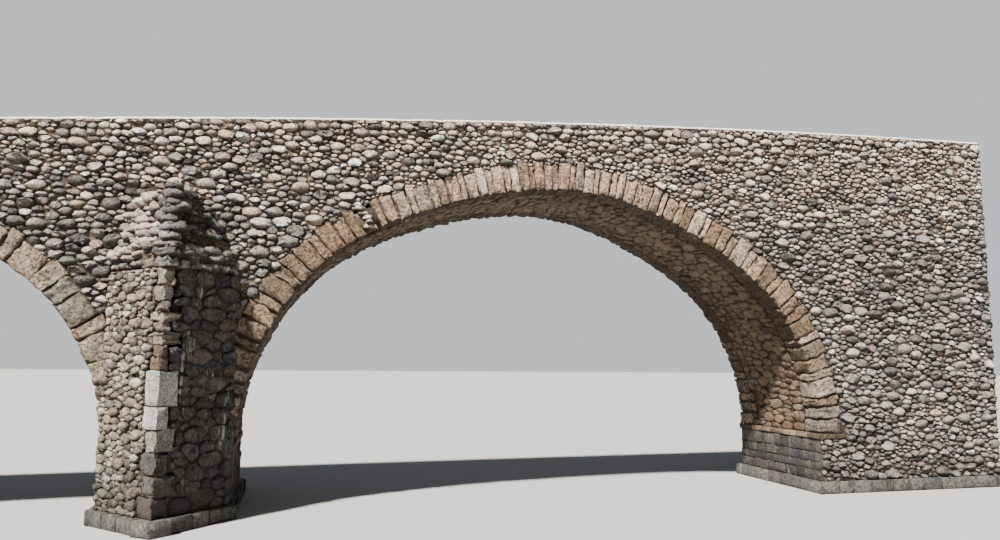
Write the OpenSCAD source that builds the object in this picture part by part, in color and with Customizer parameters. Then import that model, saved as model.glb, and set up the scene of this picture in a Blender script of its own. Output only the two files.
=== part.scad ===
// Old stone arch bridge: a wide main arch, a smaller left arch and a river pier with cutwaters.
// The origin is the middle of the pier's foot. X runs along the bridge, and the front faces -Y.

/* [Main arch] */
// Clear span between the springings
main_span = 12000; // [11000:100:13000]
// Height of the arch above its springings
main_rise = 4900; // [4600:50:5200]
// How far the settled arch wanders from a true curve
main_drift = 60; // [0:5:60]
// Depth of the ring stones, from soffit to outer end
main_ring_depth = 540; // [440:10:600]
// Number of ring stones
main_stones = 77; // [61:2:85]

/* [Left arch] */
// Clear span between the springings
left_span = 7400; // [6800:100:8000]
// Height of the arch above its springings
left_rise = 3700; // [3400:50:3850]
// Depth of the ring stones, from soffit to outer end
left_ring_depth = 500; // [400:10:560]
// Number of ring stones
left_stones = 33; // [27:2:39]

/* [Rings and vaults] */
// How much the outer ends of the ring stones differ
ring_ragged = 50; // [0:5:55]
// How far the rings and imposts stand out of the walls
ring_proud = 30; // [20:5:50]
// How far some ring stones lie back from the others
ring_uneven = 14; // [0:2:18]
// Width of the worn edges round the faces of the ring stones
ring_worn = 14; // [6:2:24]
// Width of the joints between ring stones and between vault courses
ring_joint = 12; // [8:1:20]
// Thickness of the rubble vaults between the rings
vault_depth = 420; // [350:10:440]
// How far the vaults lie back from the soffits of the rings
vault_recess = 25; // [10:5:40]
// Number of courses across the main vault
main_courses = 27; // [21:2:33]
// Number of courses across the left vault
left_courses = 17; // [13:2:21]

/* [Walls and road] */
// Width over the faces of the walls
bridge_width = 3000; // [2600:50:3600]
// Thickness of the walls over the arches
wall_t = 500; // [420:10:600]
// Height of the springings above the ground
springing_h = 1250; // [1000:50:1600]
// Length of the bridge beyond the left arch
left_approach = 3550; // [3000:50:4200]
// Length of the bridge beyond the main arch
right_approach = 4800; // [4000:50:5400]
// Thickness of the walls that close the ends
end_wall_t = 500; // [400:10:700]
// Rubble between the main ring and the underside of the road
crown_cover = 120; // [120:10:250]
// Thickness of the cobbled road
road_t = 150; // [100:10:220]
// How far the parapets rise over the road
parapet_h = 600; // [450:10:750]
// Thickness of the parapets
parapet_t = 350; // [280:10:400]
// Height of the mortar capping on the parapets
capping_h = 60; // [40:5:90]
// How far the capping is bevelled along its edges
capping_bevel = 30; // [10:5:38]
// Drop from the parapet of a road laid flat on the left ring's crown to the left end's parapet
left_fall = 530; // [340:10:640]
// Climb of the parapet from the main crown to the right end
right_climb = 490; // [400:10:600]

/* [Pier and footings] */
// Length of the river pier between the two arches
pier_length = 2100; // [1900:50:2400]
// Height of the footings
footing_h = 250; // [150:10:350]
// How far the footings reach out of the walls
footing_reach = 120; // [60:10:160]
// Height of the impost course under the springings
impost_h = 120; // [80:10:160]
// How far the impost course reaches into the openings
impost_reach = 50; // [30:5:70]
// How far the impost stones run back into the abutments
impost_run = 650; // [600:10:900]

/* [Cutwaters] */
// How far the cutwaters reach out of the pier
cutwater_reach = 1200; // [1000:50:1400]
// Height of the squared shafts above the springings
shaft_rise = 2950; // [2600:50:3200]
// Height of the hood course on the shafts
hood_h = 160; // [120:10:200]
// How far the hood course stands out of the shafts
hood_reach = 70; // [40:5:90]
// Height of the cap over the hood course
cap_h = 1320; // [1100:20:1400]
// Number of courses left in the broken front cap
cap_courses = 6; // [4:1:8]
// Reach of the topmost course of the broken cap
broken_reach = 780; // [500:20:900]
// How far the topmost course of the broken cap runs to the left
broken_left = 620; // [400:20:800]
// How far the topmost course of the broken cap runs to the right
broken_right = 260; // [150:10:500]

/* [Quoins] */
// Number of quoin stones up each arris
quoin_stones = 11; // [8:1:13]
// Length of a quoin's long leg
quoin_long = 420; // [360:10:480]
// Length of a quoin's short leg
quoin_short = 280; // [240:10:320]
// How far the quoins run into the cutwater
quoin_depth = 140; // [100:10:160]
// How far the quoins stand out of the cutwater
quoin_proud = 20; // [10:2:30]
// Width of the mortar joint between quoins
quoin_joint = 12; // [8:1:20]

/* [Hidden] */

half_w = bridge_width / 2;
ring_y = half_w + ring_proud;
inner_y = half_w - wall_t;
half_pier = pier_length / 2;
left_x = -half_pier - left_span / 2;
main_x = half_pier + main_span / 2;
left_spring = left_x - left_span / 2;
right_spring = main_x + main_span / 2;
left_end = left_spring - left_approach;
right_end = right_spring + right_approach;
shaft_top = springing_h + shaft_rise;
shaft_h = shaft_top - footing_h;
cap_base = shaft_top + hood_h;

// The parapet's top line is a shallow curve through three heights.
over_road = road_t + parapet_h + capping_h;
crown_top = springing_h + main_rise + main_ring_depth + crown_cover + over_road;
left_top = springing_h + left_rise + left_ring_depth + over_road - left_fall;
right_top = crown_top + right_climb;
parapet_drop = capping_h;
road_drop = capping_h + parapet_h;
wall_drop = road_drop + road_t;
left_bays = 8;
right_bays = 12;
stations = concat(
    [for (i = [0 : left_bays]) left_end * (1 - i / left_bays)],
    [for (i = [1 : right_bays]) right_end * i / right_bays]
);
left_part = [0 : left_bays];
right_part = [left_bays : left_bays + right_bays];
whole = [0 : left_bays + right_bays];

function top_z(x) =
    left_top * (x - main_x) * (x - right_end) / ((left_end - main_x) * (left_end - right_end))
    + crown_top * (x - left_end) * (x - right_end) / ((main_x - left_end) * (main_x - right_end))
    + right_top * (x - left_end) * (x - main_x) / ((right_end - left_end) * (right_end - main_x));
function top_line(part, drop) = [for (i = part) [stations[i], top_z(stations[i]) - drop]];
function reversed(list) = [for (i = [len(list) - 1 : -1 : 0]) list[i]];

// An arch is [middle x, span, rise, drift, ring depth, stones, crowding of the stones at the crown, vault courses].
main_arch = [main_x, main_span, main_rise, main_drift, main_ring_depth, main_stones, 0.33, main_courses];
left_arch = [left_x, left_span, left_rise, 0, left_ring_depth, left_stones, 0, left_courses];
drift_waves = 6.5;
drift_phase = 41;
joint_wander = 0.2;

// The soffit at an angle that runs from 0 at the left springing to 180 at the right one.
function soffit(arch, t) =
    let (swell = 1 + arch[3] / (arch[1] / 2) * sin(t) * cos(drift_waves * (t - drift_phase)))
    [arch[0] - arch[1] / 2 * cos(t) * swell, springing_h + arch[2] * sin(t) * swell];
function outward(arch, t) =
    t <= 0 ? [-1, 0] : t >= 180 ? [1, 0] :
    let (along = soffit(arch, t + 0.5) - soffit(arch, t - 0.5))
    [-along[1], along[0]] / norm(along);
function off_soffit(arch, t, depth) = soffit(arch, t) + depth * outward(arch, t);

function joint_angle(arch, i) =
    let (n = arch[5], wander = i == 0 || i == n ? 0 : joint_wander * sin(137 * i), s = (i + wander) / n)
    180 * (s + arch[6] * sin(360 * s) / 360 * 180 / PI);
function stone_depth(arch, i) = arch[4] + ring_ragged * sin(151 * i + 20);

function ring_soffit(arch) = [for (i = [0 : arch[5]]) soffit(arch, joint_angle(arch, i))];
function ring_back(arch) = [
    for (i = [0 : arch[5] - 1], end = [0, 1])
    off_soffit(arch, joint_angle(arch, i + end), stone_depth(arch, i))
];

function course_angle(arch, i) = 180 * i / arch[7];
function vault_back(arch) = [for (i = [0 : arch[7]]) off_soffit(arch, course_angle(arch, i), vault_depth)];

// The first and the last joint of an arch lie on the springings and aren't drawn in.
function half_joint(i, count) = i == 0 || i == count ? 0 : ring_joint / 2;

// Corners of a wedge between two angles, each drawn in from its joint.
function wedge(arch, angles, near, far, gaps) =
    let (
        low = [for (t = angles) off_soffit(arch, t, near)],
        high = [for (t = angles) off_soffit(arch, t, far)],
        low_way = (low[1] - low[0]) / norm(low[1] - low[0]),
        high_way = (high[1] - high[0]) / norm(high[1] - high[0])
    )
    [
        low[0] + gaps[0] * low_way,
        low[1] - gaps[1] * low_way,
        high[1] - gaps[1] * high_way,
        high[0] + gaps[0] * high_way
    ];

// A corner of an outline, moved in by an even margin from both of its edges.
function moved_in(outline, k, margin) =
    let (
        count = len(outline),
        after = outline[(k + 1) % count] - outline[k],
        before = outline[(k + count - 1) % count] - outline[k],
        u = after / norm(after),
        v = before / norm(before)
    )
    outline[k] + margin / (u[0] * v[1] - u[1] * v[0]) * (u + v);

// Draws an outline in the XZ plane and gives it the depth from y0 to y1.
module upright(y0, y1) {
    translate([0, y1, 0])
        rotate([90, 0, 0])
            linear_extrude(y1 - y0)
                children();
}

module block(x0, x1, y0, y1, z0, z1) {
    translate([x0, y0, z0])
        cube([x1 - x0, y1 - y0, z1 - z0]);
}

module ring_body(arch, y0, y1) {
    upright(y0, y1)
        polygon(concat(ring_soffit(arch), reversed(ring_back(arch))));
}

// Stone with a worn edge round its face, from the back at -inner_y to the face.
module ring_stone(outline, face_y) {
    count = len(outline);
    last = 2 * count;
    corners = concat(
        [for (p = outline) [p[0], -inner_y, p[1]]],
        [for (p = outline) [p[0], face_y + ring_worn, p[1]]],
        [for (k = [0 : count - 1]) let (p = moved_in(outline, k, ring_worn)) [p[0], face_y, p[1]]]
    );
    skin = [for (s = [0, 1], k = [0 : count - 1])
        let (a = s * count + k, b = s * count + (k + 1) % count) [a, b, b + count, a + count]];
    rear = [for (k = [count - 1 : -1 : 0]) k];
    face = [for (k = [0 : count - 1]) last + k];
    polyhedron(corners, concat(skin, [rear, face]));
}

// Front ring of separate wedge-shaped stones, whose outer ends and faces step in and out.
module ring(arch) {
    for (i = [0 : arch[5] - 1]) {
        angles = [joint_angle(arch, i), joint_angle(arch, i + 1)];
        gaps = [half_joint(i, arch[5]), half_joint(i + 1, arch[5])];
        set_back = ring_uneven * (1 + sin(97 * i + 40)) / 2;
        ring_stone(wedge(arch, angles, 0, stone_depth(arch, i), gaps), -ring_y + set_back);
    }
}

// Everything under the outer ends of the ring stones.
module under_ring(arch, y0, y1) {
    upright(y0, y1)
        polygon(ring_back(arch));
}

// Barrel of separate courses between the two rings.
module vault(arch) {
    for (i = [0 : arch[7] - 1]) {
        angles = [course_angle(arch, i), course_angle(arch, i + 1)];
        gaps = [half_joint(i, arch[7]), half_joint(i + 1, arch[7])];
        upright(-inner_y, inner_y)
            polygon(wedge(arch, angles, vault_recess, vault_depth, gaps));
    }
}

module under_vault(arch) {
    upright(-inner_y, inner_y)
        polygon(vault_back(arch));
}

// Wall between the springings and the underside of the road, over one or more arches.
module spandrel(part, x0, x1, arch, y0, y1) {
    difference() {
        upright(y0, y1)
            polygon(concat([[x1, springing_h], [x0, springing_h]], top_line(part, wall_drop)));
        under_ring(arch, y0, y1);
    }
}

module parapet(y0, y1) {
    upright(y0, y1)
        polygon(concat(top_line(whole, parapet_drop), reversed(top_line(whole, wall_drop))));
}

// Mortar capping with bevelled edges, swept along the parapet's top line.
module capping(y0, y1) {
    ring_points = [for (i = whole) let (x = stations[i], z = top_z(x)) each [
        [x, y0, z - capping_h],
        [x, y1, z - capping_h],
        [x, y1, z - capping_bevel],
        [x, y1 - capping_bevel, z],
        [x, y0 + capping_bevel, z],
        [x, y0, z - capping_bevel]
    ]];
    sides = 6;
    last = len(ring_points) - sides;
    skin = [for (s = [0 : len(stations) - 2], k = [0 : sides - 1])
        let (a = s * sides + k, b = s * sides + (k + 1) % sides) [a, b, b + sides, a + sides]];
    start = [for (k = [sides - 1 : -1 : 0]) k];
    finish = [for (k = [0 : sides - 1]) last + k];
    polyhedron(concat(ring_points), concat(skin, [start, finish]));
}

// Plan of a cutwater, grown outwards by an even margin on both of its faces.
arris_angle = atan2(half_pier, cutwater_reach);
function cutwater_plan(margin) = let (
    tip = half_w + cutwater_reach + margin / sin(arris_angle),
    side = half_pier + margin / cos(arris_angle)
) [[-side, -half_w], [0, -tip], [side, -half_w]];

// Arrow-shaped quoin stone round the arris, with a leg along each face.
module quoin(left_leg, right_leg, height) {
    tip = [0, -half_w - cutwater_reach - quoin_proud / sin(arris_angle)];
    notch = tip + [0, (quoin_proud + quoin_depth) / sin(arris_angle)];
    left_way = [-sin(arris_angle), cos(arris_angle)];
    right_way = [sin(arris_angle), cos(arris_angle)];
    left_in = [cos(arris_angle), sin(arris_angle)] * (quoin_proud + quoin_depth);
    right_in = [-cos(arris_angle), sin(arris_angle)] * (quoin_proud + quoin_depth);
    linear_extrude(height)
        polygon([
            tip,
            tip + right_way * right_leg,
            tip + right_way * right_leg + right_in,
            notch,
            tip + left_way * left_leg + left_in,
            tip + left_way * left_leg
        ]);
}

quoin_pitch = shaft_h / quoin_stones;
module quoins() {
    for (i = [0 : quoin_stones - 1]) {
        long_left = i % 2 == 0;
        translate([0, 0, footing_h + i * quoin_pitch])
            quoin(
                long_left ? quoin_long : quoin_short,
                long_left ? quoin_short : quoin_long,
                quoin_pitch - (i == quoin_stones - 1 ? 0 : quoin_joint)
            );
    }
}

module shaft() {
    difference() {
        translate([0, 0, footing_h])
            linear_extrude(shaft_h)
                polygon(cutwater_plan(0));
        quoins();
        ring_body(main_arch, -ring_y, -half_w);
        ring_body(left_arch, -ring_y, -half_w);
        block(-half_pier, half_pier, -ring_y, -half_w, springing_h - impost_h, springing_h);
    }
}

module hood() {
    translate([0, 0, shaft_top])
        linear_extrude(hood_h)
            polygon(cutwater_plan(hood_reach));
}

// Turns a front piece round to the back of the bridge.
module to_back() {
    mirror([0, 1, 0])
        children();
}

// The broken cap is a stack of courses, each set back from the one below.
module broken_cap() {
    course_h = cap_h / cap_courses;
    for (i = [0 : cap_courses - 1]) {
        share = i / (cap_courses - 1);
        jog = 40 * sin(97 * i);
        left = half_pier + (broken_left - half_pier) * share;
        right = half_pier + (broken_right - half_pier) * share;
        reach = cutwater_reach + (broken_reach - cutwater_reach) * share + jog;
        translate([0, 0, cap_base + i * course_h])
            linear_extrude(course_h)
                polygon([[-left, -half_w], [0, -half_w - reach], [right, -half_w]]);
    }
}

// The whole cap is a half pyramid that leans back to the wall.
module whole_cap() {
    polyhedron(
        [
            [-half_pier, -half_w, cap_base],
            [0, -half_w - cutwater_reach, cap_base],
            [half_pier, -half_w, cap_base],
            [0, -half_w, cap_base + cap_h]
        ],
        [[0, 2, 1], [0, 1, 3], [1, 2, 3], [2, 0, 3]]
    );
}

module impost(x0, x1) {
    block(x0, x1, -ring_y, ring_y, springing_h - impost_h, springing_h);
}

module footing(x0, x1) {
    block(x0, x1, -half_w - footing_reach, half_w + footing_reach, 0, footing_h);
}

// Solid abutment up to the springing, notched for its impost stones.
module abutment(end, spring, notch_end) {
    difference() {
        block(min(end, spring), max(end, spring), -half_w, half_w, footing_h, springing_h);
        block(min(notch_end, spring), max(notch_end, spring), -half_w, half_w,
            springing_h - impost_h, springing_h);
    }
}

module end_wall(x0, x1) {
    intersection() {
        block(x0, x1, -inner_y, inner_y, springing_h, crown_top + right_climb);
        upright(-inner_y, inner_y)
            polygon(concat([[right_end, springing_h], [left_end, springing_h]], top_line(whole, wall_drop)));
    }
}

module pier_footing() {
    color([0.47, 0.47, 0.46]) {
        footing(-half_pier - footing_reach, half_pier + footing_reach);
        linear_extrude(footing_h)
            polygon(cutwater_plan(footing_reach));
        to_back()
            linear_extrude(footing_h)
                polygon(cutwater_plan(footing_reach));
    }
}

module left_footing() {
    color([0.47, 0.47, 0.46])
        footing(left_end - footing_reach, left_spring + footing_reach);
}

module right_footing() {
    color([0.47, 0.47, 0.46])
        footing(right_spring - footing_reach, right_end + footing_reach);
}

module pier() {
    color([0.5, 0.47, 0.43])
        block(-half_pier, half_pier, -half_w, half_w, footing_h, springing_h - impost_h);
}

module pier_impost() {
    color([0.6, 0.54, 0.46])
        impost(-half_pier - impost_reach, half_pier + impost_reach);
}

module left_abutment() {
    color([0.55, 0.51, 0.46])
        abutment(left_end, left_spring, left_spring - impost_run);
}

module left_impost() {
    color([0.6, 0.54, 0.46])
        impost(left_spring - impost_run, left_spring + impost_reach);
}

module right_abutment() {
    color([0.55, 0.51, 0.46])
        abutment(right_end, right_spring, right_spring + impost_run);
}

module right_impost() {
    color([0.6, 0.54, 0.46])
        impost(right_spring - impost_reach, right_spring + impost_run);
}

module main_ring_front() {
    color([0.76, 0.66, 0.55])
        ring(main_arch);
}

module main_ring_back() {
    color([0.76, 0.66, 0.55])
        to_back()
            ring(main_arch);
}

module main_vault() {
    color([0.45, 0.38, 0.31])
        vault(main_arch);
}

module left_ring_front() {
    color([0.72, 0.63, 0.53])
        ring(left_arch);
}

module left_ring_back() {
    color([0.72, 0.63, 0.53])
        to_back()
            ring(left_arch);
}

module left_vault() {
    color([0.45, 0.38, 0.31])
        vault(left_arch);
}

module spandrel_front_left() {
    color([0.62, 0.58, 0.52])
        spandrel(left_part, left_end, 0, left_arch, -half_w, -inner_y);
}

module spandrel_front_main() {
    color([0.62, 0.58, 0.52])
        spandrel(right_part, 0, right_end, main_arch, -half_w, -inner_y);
}

module spandrel_back_left() {
    color([0.62, 0.58, 0.52])
        spandrel(left_part, left_end, 0, left_arch, inner_y, half_w);
}

module spandrel_back_main() {
    color([0.62, 0.58, 0.52])
        spandrel(right_part, 0, right_end, main_arch, inner_y, half_w);
}

module left_end_wall() {
    color([0.6, 0.56, 0.5])
        end_wall(left_end, left_end + end_wall_t);
}

module right_end_wall() {
    color([0.6, 0.56, 0.5])
        end_wall(right_end - end_wall_t, right_end);
}

module road_fill() {
    color([0.5, 0.45, 0.38])
        difference() {
            upright(-inner_y, inner_y)
                polygon(concat([[right_end, springing_h], [left_end, springing_h]],
                    top_line(whole, wall_drop)));
            block(left_end, left_end + end_wall_t, -inner_y, inner_y, springing_h, crown_top);
            block(right_end - end_wall_t, right_end, -inner_y, inner_y, springing_h, right_top);
            under_vault(main_arch);
            under_vault(left_arch);
        }
}

module road() {
    color([0.66, 0.62, 0.56])
        upright(-half_w + parapet_t, half_w - parapet_t)
            polygon(concat(top_line(whole, road_drop), reversed(top_line(whole, wall_drop))));
}

module front_cutwater() {
    color([0.52, 0.49, 0.45])
        shaft();
}

module front_quoins() {
    color([0.68, 0.67, 0.66])
        quoins();
}

module front_hood() {
    color([0.7, 0.64, 0.56])
        hood();
}

module front_cap() {
    color([0.6, 0.55, 0.49])
        broken_cap();
}

module back_cutwater() {
    color([0.52, 0.49, 0.45])
        to_back()
            shaft();
}

module back_quoins() {
    color([0.68, 0.67, 0.66])
        to_back()
            quoins();
}

module back_hood() {
    color([0.7, 0.64, 0.56])
        to_back()
            hood();
}

module back_cap() {
    color([0.6, 0.55, 0.49])
        to_back()
            whole_cap();
}

module parapet_front() {
    color([0.66, 0.61, 0.55])
        parapet(-half_w, -half_w + parapet_t);
}

module parapet_back() {
    color([0.66, 0.61, 0.55])
        parapet(half_w - parapet_t, half_w);
}

module capping_front() {
    color([0.86, 0.8, 0.7])
        capping(-half_w, -half_w + parapet_t);
}

module capping_back() {
    color([0.86, 0.8, 0.7])
        capping(half_w - parapet_t, half_w);
}

pier_footing();
left_footing();
right_footing();
pier();
pier_impost();
left_abutment();
left_impost();
right_abutment();
right_impost();
main_ring_front();
main_ring_back();
main_vault();
left_ring_front();
left_ring_back();
left_vault();
spandrel_front_left();
spandrel_front_main();
spandrel_back_left();
spandrel_back_main();
left_end_wall();
right_end_wall();
road_fill();
road();
front_cutwater();
front_quoins();
front_hood();
front_cap();
back_cutwater();
back_quoins();
back_hood();
back_cap();
parapet_front();
parapet_back();
capping_front();
capping_back();
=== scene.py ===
"""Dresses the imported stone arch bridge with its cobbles, ring stones, slabs, blocks and mortar.

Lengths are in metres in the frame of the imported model: X runs along the bridge, the front
faces -Y and Z is up.
"""

from __future__ import annotations

import logging
import math
from collections.abc import Callable, Sequence
from dataclasses import dataclass, field
from enum import Enum

import bpy
import numpy as np
from mathutils import Matrix, Vector


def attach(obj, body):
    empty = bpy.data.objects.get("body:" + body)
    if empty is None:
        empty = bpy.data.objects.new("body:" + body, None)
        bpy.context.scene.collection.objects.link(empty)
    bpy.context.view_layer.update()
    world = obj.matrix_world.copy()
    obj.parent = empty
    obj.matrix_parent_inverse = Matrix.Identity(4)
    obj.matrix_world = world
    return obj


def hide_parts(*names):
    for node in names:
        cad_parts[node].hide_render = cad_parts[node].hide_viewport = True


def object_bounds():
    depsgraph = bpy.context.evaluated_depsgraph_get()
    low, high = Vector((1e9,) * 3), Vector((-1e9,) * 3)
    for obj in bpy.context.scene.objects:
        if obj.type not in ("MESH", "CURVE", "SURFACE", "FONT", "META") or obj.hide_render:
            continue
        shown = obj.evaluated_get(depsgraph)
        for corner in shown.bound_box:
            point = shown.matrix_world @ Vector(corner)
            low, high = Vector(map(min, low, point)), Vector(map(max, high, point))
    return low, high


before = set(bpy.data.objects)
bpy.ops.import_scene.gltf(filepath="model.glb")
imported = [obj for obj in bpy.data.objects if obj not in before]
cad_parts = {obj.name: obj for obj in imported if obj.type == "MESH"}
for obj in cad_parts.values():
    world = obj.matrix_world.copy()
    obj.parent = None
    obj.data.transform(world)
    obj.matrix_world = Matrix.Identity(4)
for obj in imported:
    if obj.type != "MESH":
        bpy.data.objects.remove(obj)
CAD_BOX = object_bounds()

LOG = logging.getLogger("bridge")
Array = np.ndarray
Rng = np.random.Generator
Pair = tuple[float, float]
Triple = tuple[float, float, float]
Grade = Callable[[Array, Array], Array]
Tinter = Callable[[Array, Rng], Array]

BODY = "root"
TWO_PI = 2 * math.pi
LAST_SEED = 1 << 30
# A block's eight corners, with 0 or 1 for each of its three ways.
CORNERS = [(k & 1, k >> 1 & 1, k >> 2 & 1) for k in range(8)]

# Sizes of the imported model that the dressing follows.
SPRINGING = 1.25
HALF_WIDTH, INNER_Y, RING_Y = 1.5, 1.0, 1.53
HALF_PIER, CUTWATER_REACH = 1.05, 1.2
LEFT_SPRING, RIGHT_SPRING = -8.45, 13.05
LEFT_END, RIGHT_END = -12.0, 17.85
LEFT_TOP, CROWN_TOP, RIGHT_TOP, CROWN_X = 5.73, 7.62, 8.11, 7.05
PARAPET_T, CAPPING_H, ROAD_DROP = 0.35, 0.06, 0.66
FOOTING_H, FOOTING_REACH = 0.25, 0.12
IMPOST_H, IMPOST_RUN, IMPOST_REACH = 0.12, 0.65, 0.05
SHAFT_TOP, CAP_BASE, CAP_H, HOOD_REACH = 4.2, 4.36, 1.32, 0.07
BROKEN_LEFT, BROKEN_RIGHT, BROKEN_REACH = 0.62, 0.26, 0.78
RING_RAGGED, RING_UNEVEN, RING_JOINT = 0.05, 0.014, 0.012
VAULT_RECESS = 0.025
ARRIS_ANGLE = math.atan2(HALF_PIER, CUTWATER_REACH)
ARRIS_SIN, ARRIS_COS = math.sin(ARRIS_ANGLE), math.cos(ARRIS_ANGLE)
# The front ring stone, counted from the left, whose place small cobbles have taken.
RING_SLOT = 18
# Width of a stock block's worn edge, in half blocks.
BEVEL = 0.16
# Widths of an outsize stone and of a small pinning stone in a course, in widths drawn for them.
OUTSIZE, PINNING = 1.6, 0.42
# Height from which a rubble stone is flattened, in greatest usual heights, and by how much.
PROUD, FLATTEN = 1.3, 0.7
# Small stones in the corners between stones: the widest gap that takes one, its share of the
# gap, how near two may lie in their sizes, and the grid that finds the ones close by.
WIDEST_CORNER, PIN_SHARE, PIN_SPACING, PIN_GRID = 0.09, 0.62, 0.8, 0.06
# Least and most width of a block's worn edges.
WORN = (0.020, 0.045)
# Angle from which an edge between a cobble's facets is crisp.
COBBLE_CREASE = 58.0
# Directions in which the reach of a rubble stone is measured.
FAN = 12
FAN_TURN = np.arange(FAN) * TWO_PI / FAN
FAN_WAYS = np.stack([np.cos(FAN_TURN), np.sin(FAN_TURN)])


class Side(Enum):
    """Long face of the bridge."""

    FRONT = "front"
    BACK = "back"

    @property
    def sign(self) -> float:
        """Sign of Y on this side."""
        return -1.0 if self is Side.FRONT else 1.0


def linear(*screen: float) -> Triple:
    """Turns a screen colour of 0 to 255 into a linear one of 0 to 1."""
    parts = [c / 255 for c in screen]
    return tuple(c / 12.92 if c <= 0.04045 else ((c + 0.055) / 1.055) ** 2.4 for c in parts)


def dim(colour: Triple, share: float) -> Triple:
    """Darkens a colour to a share of its light."""
    return tuple(c * share for c in colour)


def top_line(x: Array) -> Array:
    """Height of the parapet's top line, with the capping, along the bridge.

    Args:
        x: Places along the bridge.

    Returns:
        Heights over the ground.
    """
    a, b, c = LEFT_END, CROWN_X, RIGHT_END
    return (
        LEFT_TOP * (x - b) * (x - c) / ((a - b) * (a - c))
        + CROWN_TOP * (x - a) * (x - c) / ((b - a) * (b - c))
        + RIGHT_TOP * (x - a) * (x - b) / ((c - a) * (c - b))
    )


@dataclass(frozen=True)
class Arch:
    """Curve and joints of one arch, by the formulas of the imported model."""

    name: str
    middle: float
    span: float
    rise: float
    drift: float
    ring_depth: float
    stones: int
    crowding: float
    courses: int

    def soffit(self, t: Array) -> Array:
        """Points of the soffit.

        Args:
            t: Angles in degrees, 0 at the left springing and 180 at the right one.

        Returns:
            X and Z of each point.
        """
        turn = np.radians(t)
        swell = 1 + self.drift / (self.span / 2) * np.sin(turn) * np.cos(np.radians(6.5 * (t - 41)))
        x = self.middle - self.span / 2 * np.cos(turn) * swell
        return np.stack([x, SPRINGING + self.rise * np.sin(turn) * swell], -1)

    def outward(self, t: Array) -> Array:
        """Directions square to the soffit, away from the opening.

        Args:
            t: Angles in degrees.

        Returns:
            X and Z of each direction.
        """
        along = self.soffit(t + 0.5) - self.soffit(t - 0.5)
        way = np.stack([-along[..., 1], along[..., 0]], -1)
        way /= np.linalg.norm(way, axis=-1, keepdims=True)
        way[t <= 0] = (-1, 0)
        way[t >= 180] = (1, 0)
        return way

    def joints(self) -> Array:
        """Sets out the joints between the stones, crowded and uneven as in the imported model.

        Returns:
            Angle of each joint in degrees.
        """
        i = np.arange(self.stones + 1)
        wander = np.where((i == 0) | (i == self.stones), 0, 0.2 * np.sin(np.radians(137 * i)))
        share = (i + wander) / self.stones
        return 180 * (share + self.crowding * np.sin(TWO_PI * share) / TWO_PI)

    def depths(self) -> Array:
        """Depth of each ring stone from the soffit to its outer end."""
        return self.ring_depth + RING_RAGGED * np.sin(np.radians(151 * np.arange(self.stones) + 20))

    def outer_ends(self) -> Array:
        """Follows the ring's outer ends in steps.

        Returns:
            X and Z of two points a stone.
        """
        joints = self.joints()
        t = np.stack([joints[:-1], joints[1:]], 1).ravel()
        return self.soffit(t) + np.repeat(self.depths(), 2)[:, None] * self.outward(t)


MAIN_ARCH = Arch("main", CROWN_X, 12.0, 4.9, 0.06, 0.54, 77, 0.33, 27)
LEFT_ARCH = Arch("left", -4.75, 7.4, 3.7, 0.0, 0.50, 33, 0.0, 17)


def ripple(points: Array, wave: float, rng: Rng) -> Array:
    """Smooth wandering noise.

    Args:
        points: Places, with X, Y and Z last.
        wave: Rough length of one wave.
        rng: Source of the random waves.

    Returns:
        A value for each place, mostly between -1 and 1.
    """
    total = np.zeros(points.shape[:-1])
    for _ in range(6):
        way = rng.normal(size=3)
        way *= TWO_PI / (np.linalg.norm(way) * wave * rng.uniform(0.6, 1.5))
        total += np.sin(points @ way + rng.uniform(0, TWO_PI))
    return total / 2.4


def fresh(rng: Rng) -> Rng:
    """Starts a new source of random numbers from another."""
    return np.random.default_rng(int(rng.integers(LAST_SEED)))


def ripple_shift(points: Array, wave: float, rng: Rng) -> Array:
    """Gives each place a smooth wandering shift, mostly between -1 and 1 each way."""
    return np.stack([ripple(points, wave, rng) for _ in range(3)], -1)


@dataclass
class Stock:
    """One stone that is modelled once and copied, in its own unit sizes."""

    points: Array
    faces: list[list[int]]

    @property
    def angle(self) -> Array:
        """Direction of each point round the upright axis."""
        return np.arctan2(self.points[:, 1], self.points[:, 0])

    @property
    def spread(self) -> Array:
        """Distance of each point from the upright axis."""
        return np.hypot(self.points[:, 0], self.points[:, 1])

    @property
    def sunk(self) -> Array:
        """How deep each point of a bedded stone lies in its joint, from 0 to 1."""
        return np.clip(1 - self.points[:, 2], 0, 1)

    @property
    def edge(self) -> Array:
        """How near each point of a block lies to one of its edges, from 0 to 1."""
        return np.clip((np.sort(np.abs(self.points), axis=1)[:, 1] - 0.82) / 0.18, 0, 1) ** 2


Stocks = Sequence[tuple[float, Stock]]


def loft(sections: Array, turned: bool = False) -> Stock:
    """Joins closed sections into one solid.

    Args:
        sections: Points of each section, a row each.
        turned: Whether the sections run the other way round.

    Returns:
        The solid as stock.
    """
    rows, sides = sections.shape[:2]
    last = (rows - 1) * sides
    quads = []
    for a in range(last):
        b = a + 1 if (a + 1) % sides else a + 1 - sides
        quads.append([a, b, b + sides, a + sides])
    ends = [list(range(sides))[::-1], list(range(last, last + sides))]
    if turned:
        quads, ends = [[a, d, c, b] for a, b, c, d in quads], [end[::-1] for end in ends]
    return Stock(sections.reshape(-1, 3), quads + ends)


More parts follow.
